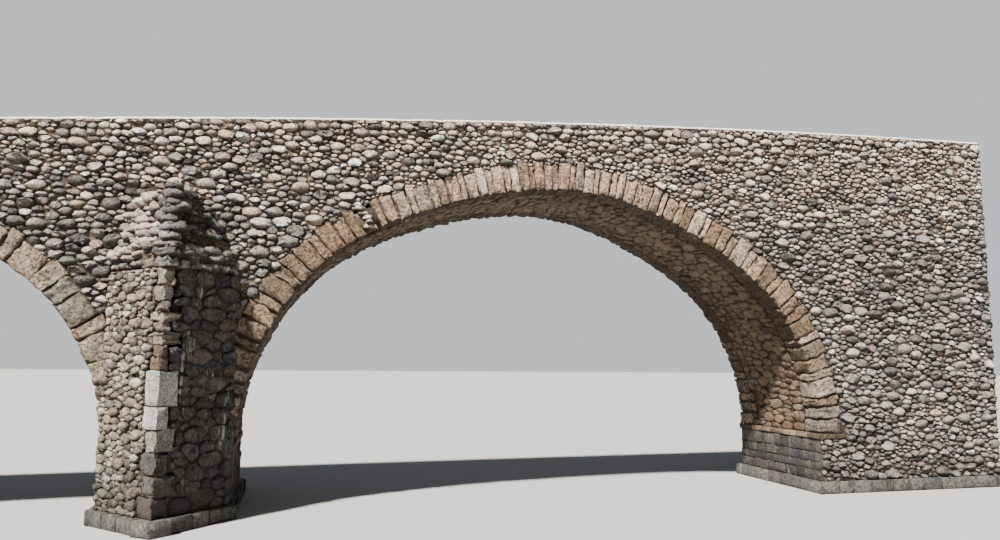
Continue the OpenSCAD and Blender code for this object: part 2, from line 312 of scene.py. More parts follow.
class Quarry:
    """Models the few stock stones with mesh operators."""

    @staticmethod
    def _shape() -> None:
        """Goes into edit mode with all of the new primitive selected."""
        bpy.ops.object.mode_set(mode="EDIT")
        bpy.ops.mesh.select_all(action="SELECT")

    @staticmethod
    def _take() -> Stock:
        """Turns the shaped object into stock and clears it away.

        Returns:
            Its points and faces.
        """
        bpy.ops.mesh.select_all(action="SELECT")
        bpy.ops.mesh.normals_make_consistent(inside=False)
        bpy.ops.object.mode_set(mode="OBJECT")
        shaped = bpy.context.object
        mesh = shaped.data
        points = np.array([v.co[:] for v in mesh.vertices])
        faces = [list(p.vertices) for p in mesh.polygons]
        bpy.data.objects.remove(shaped)
        bpy.data.meshes.remove(mesh)
        return Stock(points, faces)

    def dome(self, sides: int, *profile: Pair) -> Stock:
        """Models a stone that is bedded in mortar, as a stack of rings under a crown.

        Args:
            sides: Number of corners of its outline.
            profile: Radius and height of each ring, from the bedded one up.

        Returns:
            The stock stone, with its crown at height 1.
        """
        radius, height = profile[0]
        bpy.ops.object.select_all(action="DESELECT")
        bpy.ops.mesh.primitive_circle_add(
            vertices=sides, radius=radius, fill_type="NGON", location=(0, 0, height)
        )
        bpy.ops.object.transform_apply(location=True)
        self._shape()
        for wide, high in profile[1:]:
            bpy.ops.mesh.extrude_region_move(TRANSFORM_OT_translate={"value": (0, 0, high - height)})
            bpy.ops.transform.resize(value=(wide / radius, wide / radius, 1))
            radius, height = wide, high
        bpy.ops.mesh.extrude_region_move(TRANSFORM_OT_translate={"value": (0, 0, 1 - height)})
        bpy.ops.mesh.merge(type="CENTER")
        bpy.ops.mesh.select_all(action="DESELECT")
        bpy.ops.mesh.select_non_manifold()
        bpy.ops.mesh.edge_face_add()
        return self._take()

    def block(self, cuts: int) -> Stock:
        """Models a squared block with worn edges, from -1 to 1 each way.

        Args:
            cuts: Cuts across each face.

        Returns:
            The stock block.
        """
        bpy.ops.object.select_all(action="DESELECT")
        bpy.ops.mesh.primitive_cube_add(size=2)
        self._shape()
        bpy.ops.mesh.subdivide(number_cuts=cuts)
        bpy.ops.mesh.select_all(action="DESELECT")
        bpy.ops.mesh.edges_select_sharp(sharpness=math.radians(60))
        bpy.ops.mesh.bevel(offset=BEVEL, segments=2, affect="EDGES")
        return self._take()

    def boulder(self) -> Stock:
        """Models a loose rounded stone.

        Returns:
            The stock stone, of radius 1.
        """
        bpy.ops.object.select_all(action="DESELECT")
        bpy.ops.mesh.primitive_ico_sphere_add(subdivisions=2, radius=1)
        self._shape()
        bpy.ops.mesh.vertices_smooth(factor=0.2)
        return self._take()


@dataclass
class Pile:
    """Copies of stock stones that become one joined piece."""

    name: str
    batches: list[tuple[Stock, Array, Array, Array, bool]] = field(default_factory=list)

    def add(self, stock: Stock, points: Array, tint: Array, recess: Array, turned: bool = False) -> None:
        """Adds copies of one stock stone.

        Args:
            stock: The stock stone.
            points: Place of every point of every copy.
            tint: Colour of each copy.
            recess: How deep in the joints each point of the stock lies, from 0 to 1.
            turned: Whether the copies are mirrored, so that their faces have to be turned.
        """
        self.batches.append((stock, points, tint, recess, turned))

    def add_solid(self, stock: Stock, colour: Triple, recess: float = 0.0, turned: bool = False) -> None:
        """Adds one solid of one colour in its place."""
        self.add(stock, stock.points[None], np.array([colour]), np.full(len(stock.points), recess), turned)

    def raise_piece(
        self, material: bpy.types.Material, slot: str, replaced: str | None = None, crease: float = 180.0
    ) -> None:
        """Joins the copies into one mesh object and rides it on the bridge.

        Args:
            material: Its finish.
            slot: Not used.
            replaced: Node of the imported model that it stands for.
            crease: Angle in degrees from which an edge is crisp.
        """
        parts: list[tuple[Array, ...]] = []
        count = 0
        for stock, places, tint, recess, turned in self.batches:
            copies, corners = places.shape[:2]
            loops = np.concatenate([face[::-1] if turned else face for face in stock.faces])
            starts = count + np.arange(copies)[:, None] * corners
            sizes = np.tile([len(face) for face in stock.faces], copies)
            tints = np.repeat(np.insert(tint, 3, 1.0, axis=1), corners, axis=0)
            depths = np.tile(recess, copies)
            parts.append((places.reshape(-1, 3), (starts + loops).ravel(), sizes, tints, depths))
            count += copies * corners
        points, loops, sizes, tints, depths = (np.concatenate(part) for part in zip(*parts))
        mesh = bpy.data.meshes.new(self.name)
        mesh.vertices.add(count)
        mesh.vertices.foreach_set("co", np.clip(points, *CAD_BOX).astype(np.float32).ravel())
        mesh.loops.add(len(loops))
        mesh.loops.foreach_set("vertex_index", loops.astype(np.int32))
        mesh.polygons.add(len(sizes))
        mesh.polygons.foreach_set("loop_start", (np.cumsum(sizes) - sizes).astype(np.int32))
        mesh.update(calc_edges=True)
        mesh.shade_smooth()
        mesh.set_sharp_from_angle(angle=math.radians(crease))
        colours = mesh.attributes.new("tint", "FLOAT_COLOR", "POINT")
        colours.data.foreach_set("color", tints.astype(np.float32).ravel())
        depth = mesh.attributes.new("recess", "FLOAT", "POINT")
        depth.data.foreach_set("value", depths.astype(np.float32))
        mesh.materials.append(material)
        piece = bpy.data.objects.new(self.name, mesh)
        bpy.context.scene.collection.objects.link(piece)
        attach(piece, BODY)
        if replaced:
            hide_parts(replaced)
        LOG.info("%s: %d faces", self.name, len(sizes))


@dataclass(frozen=True)
class Plane:
    """Flat bed that stones are laid on, with its own ways along, up and out."""

    origin: Triple
    along: Triple
    up: Triple
    out: Triple

    @property
    def mirrored(self) -> bool:
        """Whether along, up and out form a left hand."""
        return float(np.dot(np.cross(self.along, self.up), self.out)) < 0

    def place(self, u: Array, v: Array, h: Array) -> Array:
        """Places points of the bed in the bridge's frame.

        Args:
            u: Distances along the bed.
            v: Distances up the bed.
            h: Heights over the bed.

        Returns:
            X, Y and Z of each point.
        """
        along, up, out = (np.array(way, float) for way in (self.along, self.up, self.out))
        return np.array(self.origin) + u[..., None] * along + v[..., None] * up + h[..., None] * out


@dataclass(frozen=True)
class RoadBed:
    """Top of the road, with the bridge's length and width as its two ways."""

    mirrored: bool = False

    def place(self, u: Array, v: Array, h: Array) -> Array:
        """Places points along and across the road, at a height over it, in the bridge's frame."""
        return np.stack([u, v, top_line(u) - ROAD_DROP + h], -1)


@dataclass(frozen=True)
class VaultBed:
    """Flat courses of a vault, with the length round the arch and the bridge's width as its two ways."""

    arch: Arch
    mirrored: bool = False

    def _table(self) -> tuple[Array, Array, Array]:
        """Measures the vault at the joints of its courses.

        Returns:
            Angles, places and lengths round the vault.
        """
        t = 180 * np.arange(self.arch.courses + 1) / self.arch.courses
        points = self.arch.soffit(t) + VAULT_RECESS * self.arch.outward(t)
        steps = np.linalg.norm(np.diff(points, axis=0), axis=1)
        return t, points, np.concatenate([[0], np.cumsum(steps)])

    @property
    def length(self) -> float:
        """Length round the vault from springing to springing."""
        return float(self._table()[2][-1])

    def place(self, u: Array, v: Array, h: Array) -> Array:
        """Places points of the soffit in the bridge's frame.

        Args:
            u: Lengths round the arch.
            v: Places across the bridge.
            h: Heights off the vault, towards the opening.

        Returns:
            X, Y and Z of each point.
        """
        t, points, lengths = self._table()
        way = self.arch.outward(np.interp(u, lengths, t))
        x, z = (np.interp(u, lengths, points[:, k]) - h * way[..., k] for k in range(2))
        return np.stack([x, v, z], -1)


Bed = Plane | RoadBed | VaultBed


@dataclass(frozen=True)
class Palette:
    """Colours of the stones in one wall and how common each is."""

    colours: tuple[Triple, ...]
    shares: tuple[float, ...]
    spread: float = 0.20

    def draw(self, count: int, rng: Rng) -> Array:
        """Draws a colour for each stone.

        Args:
            count: Number of stones.
            rng: Source of the draws.

        Returns:
            Linear colours.
        """
        shares = np.array(self.shares) / sum(self.shares)
        pick = rng.choice(len(self.colours), count, p=shares)
        base = np.array([linear(*c) for c in self.colours])[pick]
        light = np.exp(rng.normal(0, self.spread, (count, 1)))
        return np.clip(base * light * np.exp(rng.normal(0, 0.014, (count, 3))), 0.01, 0.9)


COBBLES = Palette(
    ((211, 191, 178), (194, 176, 165), (224, 207, 191), (202, 178, 163),
     (176, 165, 157), (189, 167, 147), (147, 139, 133), (242, 229, 216)),
    (24, 20, 15, 11, 13, 4, 6, 7),
)
GREY_COBBLES = Palette(
    ((152, 146, 141), (130, 126, 123), (168, 159, 152), (108, 105, 104), (190, 183, 177), (140, 126, 116)),
    (28, 24, 16, 14, 13, 5),
)
CROWN_STONES = Palette(
    ((175, 151, 132), (160, 136, 117), (184, 164, 145), (153, 134, 121), (145, 119, 97)),
    (26, 24, 20, 16, 14), 0.15,
)
# Brown haunch stones, darkened below their own tone: partly weathered stone, partly painted shadow of trees.
HAUNCH_STONES = Palette(
    ((131, 112, 93), (120, 101, 81), (143, 124, 103), (108, 95, 79), (124, 108, 91), (137, 116, 96)),
    (24, 20, 18, 14, 12, 12), 0.16,
)
LEFT_STONES = Palette(
    ((142, 128, 114), (126, 116, 104), (152, 136, 118), (114, 106, 98)), (3, 3, 2, 2), 0.09
)
# Tan quoin blocks, darker than their own tone: partly eroded brown stone, partly painted shade for the
# quoins' legs turned from the key light.
TAN_BLOCKS = Palette(
    ((142, 129, 115), (124, 112, 100), (158, 145, 131), (116, 97, 80)), (34, 28, 24, 14), 0.14
)
BROWN_RUBBLE = Palette(
    ((107, 88, 72), (96, 79, 64), (116, 99, 83), (85, 70, 57), (109, 98, 85)), (28, 24, 20, 16, 12), 0.10
)
SMALL_RUBBLE = Palette(
    ((139, 127, 114), (127, 113, 100), (151, 139, 127), (113, 100, 90), (172, 164, 153), (99, 90, 83)),
    (26, 24, 16, 14, 10, 10), 0.22,
)
# Sooty grey blocks, darkened further as painted shade for the cutwater's face turned from the key light; the
# inner faces in the openings take them too.
SHADED_GREY_BLOCKS = Palette(
    ((83, 79, 76), (72, 70, 68), (93, 86, 79), (62, 60, 59), (84, 76, 67)), (30, 25, 20, 15, 10), 0.12
)
FOOTING_BLOCKS = Palette(
    ((128, 126, 122), (112, 110, 108), (142, 139, 134), (104, 100, 95)), (30, 28, 22, 20), 0.10
)
RUSTY_BLOCKS = Palette(((112, 92, 75), (104, 86, 72)), (2, 1), 0.08)
GRANITE = Palette(((168, 167, 167), (152, 152, 153)), (6, 4), 0.05)
CORE_MORTAR = linear(62, 54, 47)


@dataclass(frozen=True)
class Coursing:
    """How a mason sorts and beds one kind of rubble.

    Heights, widths, joints and reliefs are lengths. Reaches are measured with lengths along the
    bed squeezed, so that a wide stone has one reach all round. The last six say how uneven a
    stone's shoulder is, how its relief grows with its size, how far its rim is nicked and its
    crown leans, and which corners take a small stone and how low that one lies.
    """

    height: float = 0.150
    width: float = 0.225
    spread: float = 0.40
    wander: float = 0.13
    outsize: float = 0.08
    pinning: float = 0.20
    joint: float = 0.003
    relief: Pair = (0.036, 0.074)
    squeeze: float = 0.60
    crowd: float = 0.92
    rounding: int = 1
    oval: Pair = (1.10, 1.50)
    farthest: float = 0.18
    smallest: float = 0.014
    tilt: float = 0.22
    settling: float = 0.35
    ragged: float = 0.10
    lumps: float = 0.21
    shoulder: Pair = (0.72, 1.04)
    growth: Pair = (0.45, 1.4)
    nick: float = 0.07
    lean: float = 0.25
    wedge: float = 0.020
    wedge_relief: Pair = (0.35, 0.75)

    @property
    def usual(self) -> float:
        """Usual reach of a stone in squeezed lengths."""
        return (self.width * self.squeeze + self.height) / 4.4


def course_seeds(coursing: Coursing, span: Pair, rise: Pair, rng: Rng) -> Array:
    """Sets out the middles of stones in rough courses.

    Args:
        coursing: Sizes of the stones.
        span: First and last place along the bed.
        rise: First and last place up the bed.
        rng: Source of the random sizes.

    Returns:
        Place along, place up, and half width of each stone.
    """
    seeds = []
    v = rise[0]
    while v < rise[1]:
        high = coursing.height * rng.uniform(0.78, 1.25)
        u = span[0] - rng.uniform(0, coursing.width)
        waves = rng.uniform(0, TWO_PI, 2)
        while u < span[1] + coursing.width:
            wide = coursing.width * math.exp(rng.normal(0, coursing.spread))
            lift = rng.normal(0, coursing.wander) * high
            luck = rng.random()
            if luck < coursing.outsize:
                wide *= OUTSIZE
            elif luck < coursing.outsize + coursing.pinning:
                wide *= PINNING
                lift = rng.choice((-0.3, 0.3)) * high
            middle = u + wide / 2
            sway = 0.03 * math.sin(middle * 0.9 + waves[0]) + 0.02 * math.sin(middle * 2.3 + waves[1])
            seeds.append((middle, v + high / 2 + sway + lift, min(wide / 2, coursing.width * 0.85)))
            u += wide
        v += high
    return np.array(seeds)


def inside(points: Array, outline: Array) -> Array:
    """Tells which points lie inside a closed outline.

    Args:
        points: Points in the plane.
        outline: Corners of the outline.

    Returns:
        One truth value a point.
    """
    odd = np.zeros(len(points), bool)
    x, y = points[:, 0], points[:, 1]
    for a, b in zip(outline, np.roll(outline, -1, axis=0)):
        if a[1] != b[1]:
            spans = (a[1] > y) != (b[1] > y)
            odd ^= spans & (x < a[0] + (y - a[1]) * (b[0] - a[0]) / (b[1] - a[1]))
    return odd


@dataclass(frozen=True)
class Sort:
    """One size of stones, by half their height, and how many are tried on a square metre."""

    least: float
    most: float
    tries: float


COBBLE_SORTS = (Sort(0.080, 0.115, 9), Sort(0.050, 0.068, 110), Sort(0.025, 0.037, 330))
RUBBLE_SORTS = (Sort(0.070, 0.095, 16), Sort(0.044, 0.060, 140), Sort(0.024, 0.034, 330))


def mixed_seeds(
    coursing: Coursing, outline: Array, sorts: Sequence[Sort], rng: Rng, grade: Grade | None = None
) -> Array:
    """Sets out stones of mixed sizes, large ones first and smaller ones in the room that is left.

    Args:
        coursing: How the stones are laid.
        outline: Corners of the bed's outline.
        sorts: Sizes of the stones, largest first.
        rng: Source of the random places and sizes.
        grade: Gives how much larger the stones are at a place.

    Returns:
        Place along, place up, and half width of each stone.
    """
    cell, gap, squeeze = 0.01, coursing.crowd, coursing.squeeze
    low, high = outline.min(0), outline.max(0)
    across, upward = (np.arange(low[k] * s, high[k] * s + cell, cell) for k, s in enumerate((squeeze, 1.0)))
    room = np.ones((len(across), len(upward)))
    seeds = []
    for sort in sorts:
        tries = rng.uniform(low, high, (int(np.prod(high - low) * sort.tries), 2))
        tries = tries[inside(tries, outline)]
        sizes = rng.uniform(sort.least, sort.most, len(tries))
        if grade is not None:
            sizes = sizes * grade(tries[:, 0], tries[:, 1])
        for (u, v), size in zip(tries.tolist(), sizes.tolist()):
            x = u * squeeze
            i, j = int((x - across[0]) / cell), int((v - upward[0]) / cell)
            if room[i, j] < gap * size:
                continue
            seeds.append((u, v, size / squeeze))
            wide = int((size + sorts[0].most * 1.3) * gap / cell) + 1
            rows, columns = slice(max(i - wide, 0), i + wide), slice(max(j - wide, 0), j + wide)
            free = np.hypot(across[rows, None] - x, upward[None, columns] - v) - gap * size
            room[rows, columns] = np.minimum(room[rows, columns], free)
    return np.array(seeds)


def cell_reach(middles: Array, weights: Array, outline: Array, farthest: float) -> Array:
    """Measures each stone's cell, from its middle to its edge, in a fan of directions.

    Args:
        middles: Middles of the stones.
        weights: Squared half widths, so that large stones take more room.
        outline: Corners of the bed's outline.
        farthest: The most that a stone may reach.

    Returns:
        A distance for each stone and direction.
    """
    edge = np.roll(outline, -1, axis=0) - outline
    reach = np.full((len(middles), FAN), farthest)
    near = min(26, len(middles) - 1)
    batch = 400
    for start in range(0, len(middles), batch):
        rows = slice(start, start + batch)
        own = middles[rows]
        gaps = middles[None, :, :] - own[:, None, :]
        far = (gaps**2).sum(-1)
        far[np.arange(len(own)), start + np.arange(len(own))] = np.inf
        pick = np.argpartition(far - weights[None, :], near - 1, axis=1)[:, :near]
        room = (np.take_along_axis(far, pick, 1) + weights[rows][:, None] - weights[pick]) / 2
        toward = np.take_along_axis(gaps, pick[..., None], 1) @ FAN_WAYS
        off = outline[None, :, :] - own[:, None, :]
        across = FAN_WAYS[0] * edge[None, :, 1, None] - FAN_WAYS[1] * edge[None, :, 0, None]
        over = (off[..., 0] * edge[None, :, 1] - off[..., 1] * edge[None, :, 0])[..., None]
        slide = off[..., 0, None] * FAN_WAYS[1] - off[..., 1, None] * FAN_WAYS[0]
        with np.errstate(divide="ignore", invalid="ignore"):
            cut = np.where(toward > 1e-9, np.maximum(room, 0)[..., None] / toward, np.inf)
            run, share = over / across, slide / across
        hit = (np.abs(across) > 1e-12) & (run > 0) & (share >= -1e-6) & (share <= 1 + 1e-6)
        wall = np.where(hit, run, np.inf).min(1)
        reach[rows] = np.minimum(np.minimum(reach[rows], cut.min(1)), wall)
    return reach


def settle(middles: Array, reach: Array, share: float) -> Array:
    """Moves each stone's middle towards the middle of its cell.

    Args:
        middles: Middles of the stones.
        reach: Distances to the edges of their cells.
        share: How much of the way they move.

    Returns:
        The new middles.
    """
    rim = reach[..., None] * FAN_WAYS.T
    area = reach * np.roll(reach, -1, 1)
    middle = ((rim + np.roll(rim, -1, 1)) * area[..., None]).sum(1) / (3 * area.sum(1)[:, None] + 1e-12)
    return middles + share * middle


@dataclass
class RubbleMason:
    """Lays rounded stones in a bed so that they fill it with narrow joints.

    Each stock stone serves from its least mean reach up.
    """

    coursing: Coursing
    stocks: Stocks
    seed: int
    wedges: Array = field(init=False)

    def cells(self, seeds: Array, outline: Array) -> tuple[Array, Array]:
        """Fits the stones' outlines to each other and to the bed.

        Args:
            seeds: Place along, place up, and half width of each stone.
            outline: Corners of the bed's outline.

        Returns:
            Middles of the stones and their reach in each direction, squeezed along the bed.
        """
        c = self.coursing
        edge = outline * (c.squeeze, 1)
        middles = seeds[:, :2] * (c.squeeze, 1)
        keep = inside(middles, edge)
        middles, weights = middles[keep], (seeds[keep, 2] * c.squeeze) ** 2
        middles = settle(middles, cell_reach(middles, weights, edge, c.farthest), c.settling)
        keep = inside(middles, edge)
        middles, weights = middles[keep], weights[keep]
        room = smooth = cell_reach(middles, weights, edge, c.farthest)
        for _ in range(c.rounding):
            smooth = (np.roll(smooth, 1, 1) + 2 * smooth + np.roll(smooth, -1, 1)) / 4
            smooth = np.minimum(smooth, room)
        waves = np.cos(2 * FAN_TURN), np.sin(2 * FAN_TURN)
        lobes = sum(wave * (room * wave).mean(1, keepdims=True) for wave in waves)
        oval = room.mean(1, keepdims=True) + 2 * lobes
        rng = np.random.default_rng(self.seed + 1)
        reach = np.minimum(smooth, oval * rng.uniform(*c.oval, (len(room), 1))) - c.joint
        self.wedges = self.corners(middles, room, reach)
        keep = (reach.mean(1) > c.smallest) & (reach.min(1) > 0.35 * c.smallest)
        return middles[keep], reach[keep]

    def corners(self, middles: Array, room: Array, reach: Array) -> Array:
        """Finds the corners between stones that are wide enough for a small stone.

        Args:
            middles: Middles of the stones.
            room: Distances to the edges of their cells.
            reach: Distances to the edges of the stones.

        Returns:
            Place along, place up, and radius of each small stone, squeezed along the bed.
        """
        gap = room - reach
        peak = (gap >= np.roll(gap, 1, 1)) & (gap >= np.roll(gap, -1, 1))
        peak &= (gap > self.coursing.wedge) & (gap < WIDEST_CORNER)
        stone, k = np.nonzero(peak)
        size = gap[stone, k] * PIN_SHARE
        places = middles[stone] + (reach[stone, k] + size)[:, None] * FAN_WAYS.T[k]
        order = np.argsort(-size)
        places, size = places[order], size[order]
        kept: list[int] = []
        taken: dict[tuple[int, int], list[int]] = {}
        for n, (x, y) in enumerate(places):
            i, j = int(x // PIN_GRID), int(y // PIN_GRID)
            close = [m for di in (-1, 0, 1) for dj in (-1, 0, 1) for m in taken.get((i + di, j + dj), [])]
            if all(math.dist((x, y), places[m]) > PIN_SPACING * (size[n] + size[m]) for m in close):
                kept.append(n)
                taken.setdefault((i, j), []).append(n)
        return np.concatenate([places[kept], size[kept, None]], 1)

    def pin(self, pile: Pile, bed: Bed, chip: Stock, palette: Palette) -> None:
        """Pushes small stones into the corners that the last laying left open.

        Args:
            pile: The pile that takes them.
            bed: The bed that they lie in.
            chip: The stock stone.
            palette: Their colours.
        """
        c, rng = self.coursing, np.random.default_rng(self.seed + 2)
        count = len(self.wedges)
        x, y, size = (self.wedges[:, k : k + 1] for k in range(3))
        radial = chip.spread * size * rng.uniform(0.72, 1.2, (count, len(chip.spread)))
        turn = chip.angle + rng.uniform(0, TWO_PI, (count, 1))
        low = rng.uniform(*c.relief, (count, 1)) * rng.uniform(*c.wedge_relief, (count, 1))
        height = chip.points[:, 2]
        h = np.where(height > 0, low * height * rng.uniform(0.8, 1.2, radial.shape), height * 0.04)
        u = (x + 0.75 * radial * np.cos(turn)) / c.squeeze
        v = y + radial * np.sin(turn)
        # Small stones are darkened to 0.9 as painted shade in the corners where they lie low.
        pile.add(chip, bed.place(u, v, h), palette.draw(count, rng) * 0.9, chip.sunk, bed.mirrored)

    def lay(
        self, pile: Pile, bed: Bed, seeds: Array, outline: Array, palette: Palette | Tinter
    ) -> None:
        """Lays the stones and adds them to a pile.

        Args:
            pile: The pile that takes them.
            bed: The bed that they lie in.
            seeds: Place along, place up, and half width of each stone.
            outline: Corners of the bed's outline.
            palette: Their colours, or a function that gives them by place.
        """
        c, rng = self.coursing, np.random.default_rng(self.seed)
        middles, reach = self.cells(seeds, outline)
        places = middles / (c.squeeze, 1)
        tint = palette.draw(len(places), rng) if isinstance(palette, Palette) else palette(places, rng)
        reach = reach * (1 + rng.normal(0, c.ragged, reach.shape))
        tier = np.searchsorted([least for least, _ in self.stocks], reach.mean(1), side="right") - 1
        for k, (_, stock) in enumerate(self.stocks):
            mine = tier == k
            if mine.any():
                points = bed.place(*self.shape(stock, middles[mine], reach[mine], rng))
                pile.add(stock, points, tint[mine], stock.sunk, bed.mirrored)

    def shape(self, stock: Stock, middles: Array, reach: Array, rng: Rng) -> tuple[Array, Array, Array]:
        """Fits copies of one stock stone to their cells.

        Args:
            stock: The stock stone.
            middles: Middles of the stones, squeezed along the bed.
            reach: Their reach in each direction.
            rng: Source of their random shapes.

        Returns:
            Places along, places up, and heights of all points.
        """
        c, count, height = self.coursing, len(reach), stock.points[:, 2]
        face = (height > 0.5) & (height < 1)
        spread = stock.spread * np.where(face, rng.uniform(*c.shoulder, (count, 1)), 1.0)
        turn = stock.angle + rng.uniform(0, TWO_PI / FAN, (count, 1))
        first = np.floor(turn * FAN / TWO_PI).astype(int)
        share = turn * FAN / TWO_PI - first
        before, after = (np.take_along_axis(reach, (first + step) % FAN, 1) for step in (0, 1))
        size = reach.mean(1)
        relief = rng.uniform(*c.relief, count) * np.clip(size / c.usual, *c.growth)
        nicks = 1 + rng.normal(0, c.nick, spread.shape) * face
        rim = (before * (1 - share) + after * share) * spread * nicks
        lean = rng.normal(0, c.lean, (count, 2)) * size[:, None]
        inner = np.clip(1 - spread, 0, 1)
        du = rim * np.cos(turn) + lean[:, :1] * inner
        dv = rim * np.sin(turn) + lean[:, 1:] * inner
        slope = rng.normal(0, c.tilt, (count, 2))
        bumps = 1 + rng.normal(0, c.lumps, spread.shape) * (height > 0.5)
        h = np.where(height > 0, relief[:, None] * height * bumps, height * 0.05)
        h = h + np.where(height > 0.2, slope[:, :1] * du + slope[:, 1:] * dv, 0)
        h = h - np.maximum(h - PROUD * c.relief[1], 0) * FLATTEN
        return (middles[:, :1] + du) / c.squeeze, middles[:, 1:] + dv, h


def between(shares: Array, corners: Sequence[Array]) -> Array:
    """Places points between eight corners.

    Args:
        shares: Shares of each point in the three ways, from 0 to 1.
        corners: The corners, each for all points.

    Returns:
        The points.
    """
    total = 0.0
    for ways, corner in zip(CORNERS, corners):
        parts = (shares[..., k] if way else 1 - shares[..., k] for k, way in enumerate(ways))
        total = total + math.prod(parts)[..., None] * corner
    return total


@dataclass
class BlockMason:
    """Lays copies of one stock block, each between eight corners."""

    stock: Stock
    rng: Rng

    def shares(self, lengths: Array, wear: Array) -> Array:
        """Gives each point's place in the block from 0 to 1, with the worn edge at its true width.

        Args:
            lengths: Length of each block in its three ways.
            wear: Width of the worn edge of each block.

        Returns:
            Three shares for each point of each block.
        """
        unit = self.stock.points[None, :, :]
        half = lengths[:, None, :] / 2
        ragged = self.rng.normal(1, 0.25, (len(lengths), unit.shape[1], 1)).clip(0.3, 2)
        edge = np.minimum(wear[:, None, None] * ragged, 0.45 * half)
        core, size = 1 - BEVEL, np.abs(unit)
        flat = size / core * (half - edge)
        worn = half - edge * (1 - size) / BEVEL
        return 0.5 + 0.5 * np.sign(unit) * np.where(size <= core + 1e-6, flat, worn) / half

    def lay(
        self, pile: Pile, corners: Array, tint: Array, wear: Pair, rough: float, turned: bool = False
    ) -> None:
        """Adds blocks to a pile.

        Args:
            pile: The pile that takes them.
            corners: Eight corners of each block.
            tint: Colour of each block.
            wear: Least and most width of the worn edges.
            rough: How far the faces wander.
            turned: Whether the corners form a left hand.
        """
        count = len(corners)
        lengths = np.stack([np.linalg.norm(corners[:, k] - corners[:, 0], axis=1) for k in (1, 2, 4)], 1)
        shares = self.shares(lengths, self.rng.uniform(*wear, count))
        points = between(shares, np.moveaxis(corners, 1, 0)[:, :, None])
        apart = points + self.rng.uniform(-40, 40, (count, 1, 3))
        broad, fine = (ripple_shift(apart, wave, self.rng) for wave in (0.16, 0.05))
        pile.add(self.stock, points + rough * broad + 0.45 * rough * fine, tint, self.stock.edge, turned)


def bed_corners(bed: Bed, u: Pair, v: Pair, h: Pair, slack: Array) -> Array:
    """Corners of a block that is laid in a bed.

    Args:
        bed: The bed.
        u: First and last place along the bed.
        v: First and last place up the bed.
        h: Height of the block's back and of its face.
        slack: How far each of its four upright edges is off square, along, up and out.

    Returns:
        Eight corners.
    """
    corners = []
    for i, j, f in CORNERS:
        shift = slack[2 * j + i]
        place = (u[i] + shift[0], v[j] + shift[1], h[f] + shift[2] * f)
        corners.append(bed.place(*(np.array(value) for value in place)))
    return np.array(corners)


def split(span: Pair, sizes: Pair, rng: Rng) -> list[Pair]:
    """Splits a length into parts of random size.

    Args:
        span: First and last place.
        sizes: Least and most size of a part.
        rng: Source of the random sizes.

    Returns:
        First and last place of each part.
    """
    total = span[1] - span[0]
    parts = []
    while sum(parts) < total:
        parts.append(rng.uniform(*sizes))
    if len(parts) > 1 and sum(parts) - total > parts[-1] / 2:
        parts.pop()
    marks = span[0] + np.concatenate([[0], np.cumsum(parts)]) * total / sum(parts)
    return list(zip(marks[:-1], marks[1:]))


@dataclass
class Wire:
    """Value in a node tree, which takes the signs of arithmetic."""

    sheet: Sheet
    socket: bpy.types.NodeSocket

    def __add__(self, other: Wire | float) -> Wire:
        """Adds a value."""
        return self.sheet.math("ADD", self, other)

    def __sub__(self, other: Wire | float) -> Wire:
        """Takes a value away."""
        return self.sheet.math("SUBTRACT", self, other)

    def __mul__(self, other: Wire | float) -> Wire:
        """Multiplies by a value."""
        return self.sheet.math("MULTIPLY", self, other)


Value = Wire | float | Sequence[float]
Inputs = dict[str | int, Value]


class Sheet:
    """Node tree that is filled with few words."""

    def __init__(self, tree: bpy.types.NodeTree) -> None:
        """Clears the tree."""
        self.tree = tree
        tree.nodes.clear()

    def put(self, kind: str, inputs: Inputs | None = None, **settings: object) -> bpy.types.Node:
        """Adds a node.

        Args:
            kind: Its type, without the leading word for shader nodes.
            inputs: Values or wires for its inputs.
            settings: Its own settings.

        Returns:
            The new node.
        """
        node = self.tree.nodes.new(kind if kind.startswith("Node") else f"ShaderNode{kind}")
        for name, value in settings.items():
            setattr(node, name, value)
        for name, value in (inputs or {}).items():
            socket = node.inputs[name]
            if isinstance(value, Wire):
                self.tree.links.new(value.socket, socket)
            elif socket.type == "RGBA" and len(value) == 3:
                socket.default_value = (*value, 1.0)
            else:
                socket.default_value = value
        return node

    def wire(self, kind: str, inputs: Inputs | None = None, out: str | int = 0, **settings: object) -> Wire:
        """Adds a node as put does, and gives one of its outputs."""
        return Wire(self, self.put(kind, inputs, **settings).outputs[out])

    def group(self, tree: bpy.types.NodeTree, **inputs: Value) -> dict[str, Wire]:
        """Adds a shared effect with its inputs, and gives its outputs by name."""
        return {out.name: Wire(self, out) for out in self.put("Group", inputs, node_tree=tree).outputs}

    def math(self, operation: str, *values: Wire | float, clamp: bool = False) -> Wire:
        """Adds a maths node."""
        return self.wire("Math", dict(enumerate(values)), operation=operation, use_clamp=clamp)

    def span(self, value: Wire, low: float, high: float, first: float = 0.0, last: float = 1.0) -> Wire:
        """Maps a value smoothly from one range to another."""
        inputs = {"Value": value, "From Min": low, "From Max": high, "To Min": first, "To Max": last}
        return self.wire("MapRange", inputs, interpolation_type="SMOOTHSTEP")

    def mix(self, share: Wire | float, first: Value, second: Value, blend: str = "MIX") -> Wire:
        """Mixes two colours."""
        inputs = {0: share, 6: first, 7: second}
        return self.wire("Mix", inputs, 2, data_type="RGBA", blend_type=blend, clamp_factor=True)

    def noise(self, vector: Wire, scale: Wire | float, detail: float = 4.0, rough: float = 0.6) -> Wire:
        """Adds a noise texture."""
        return self.wire("TexNoise", {"Vector": vector, "Scale": scale, "Detail": detail, "Roughness": rough})

    def scaled(self, vector: Wire, *scale: float) -> Wire:
        """Scales a vector in its three ways."""
        return self.wire("VectorMath", {0: vector, 1: scale}, operation="MULTIPLY")


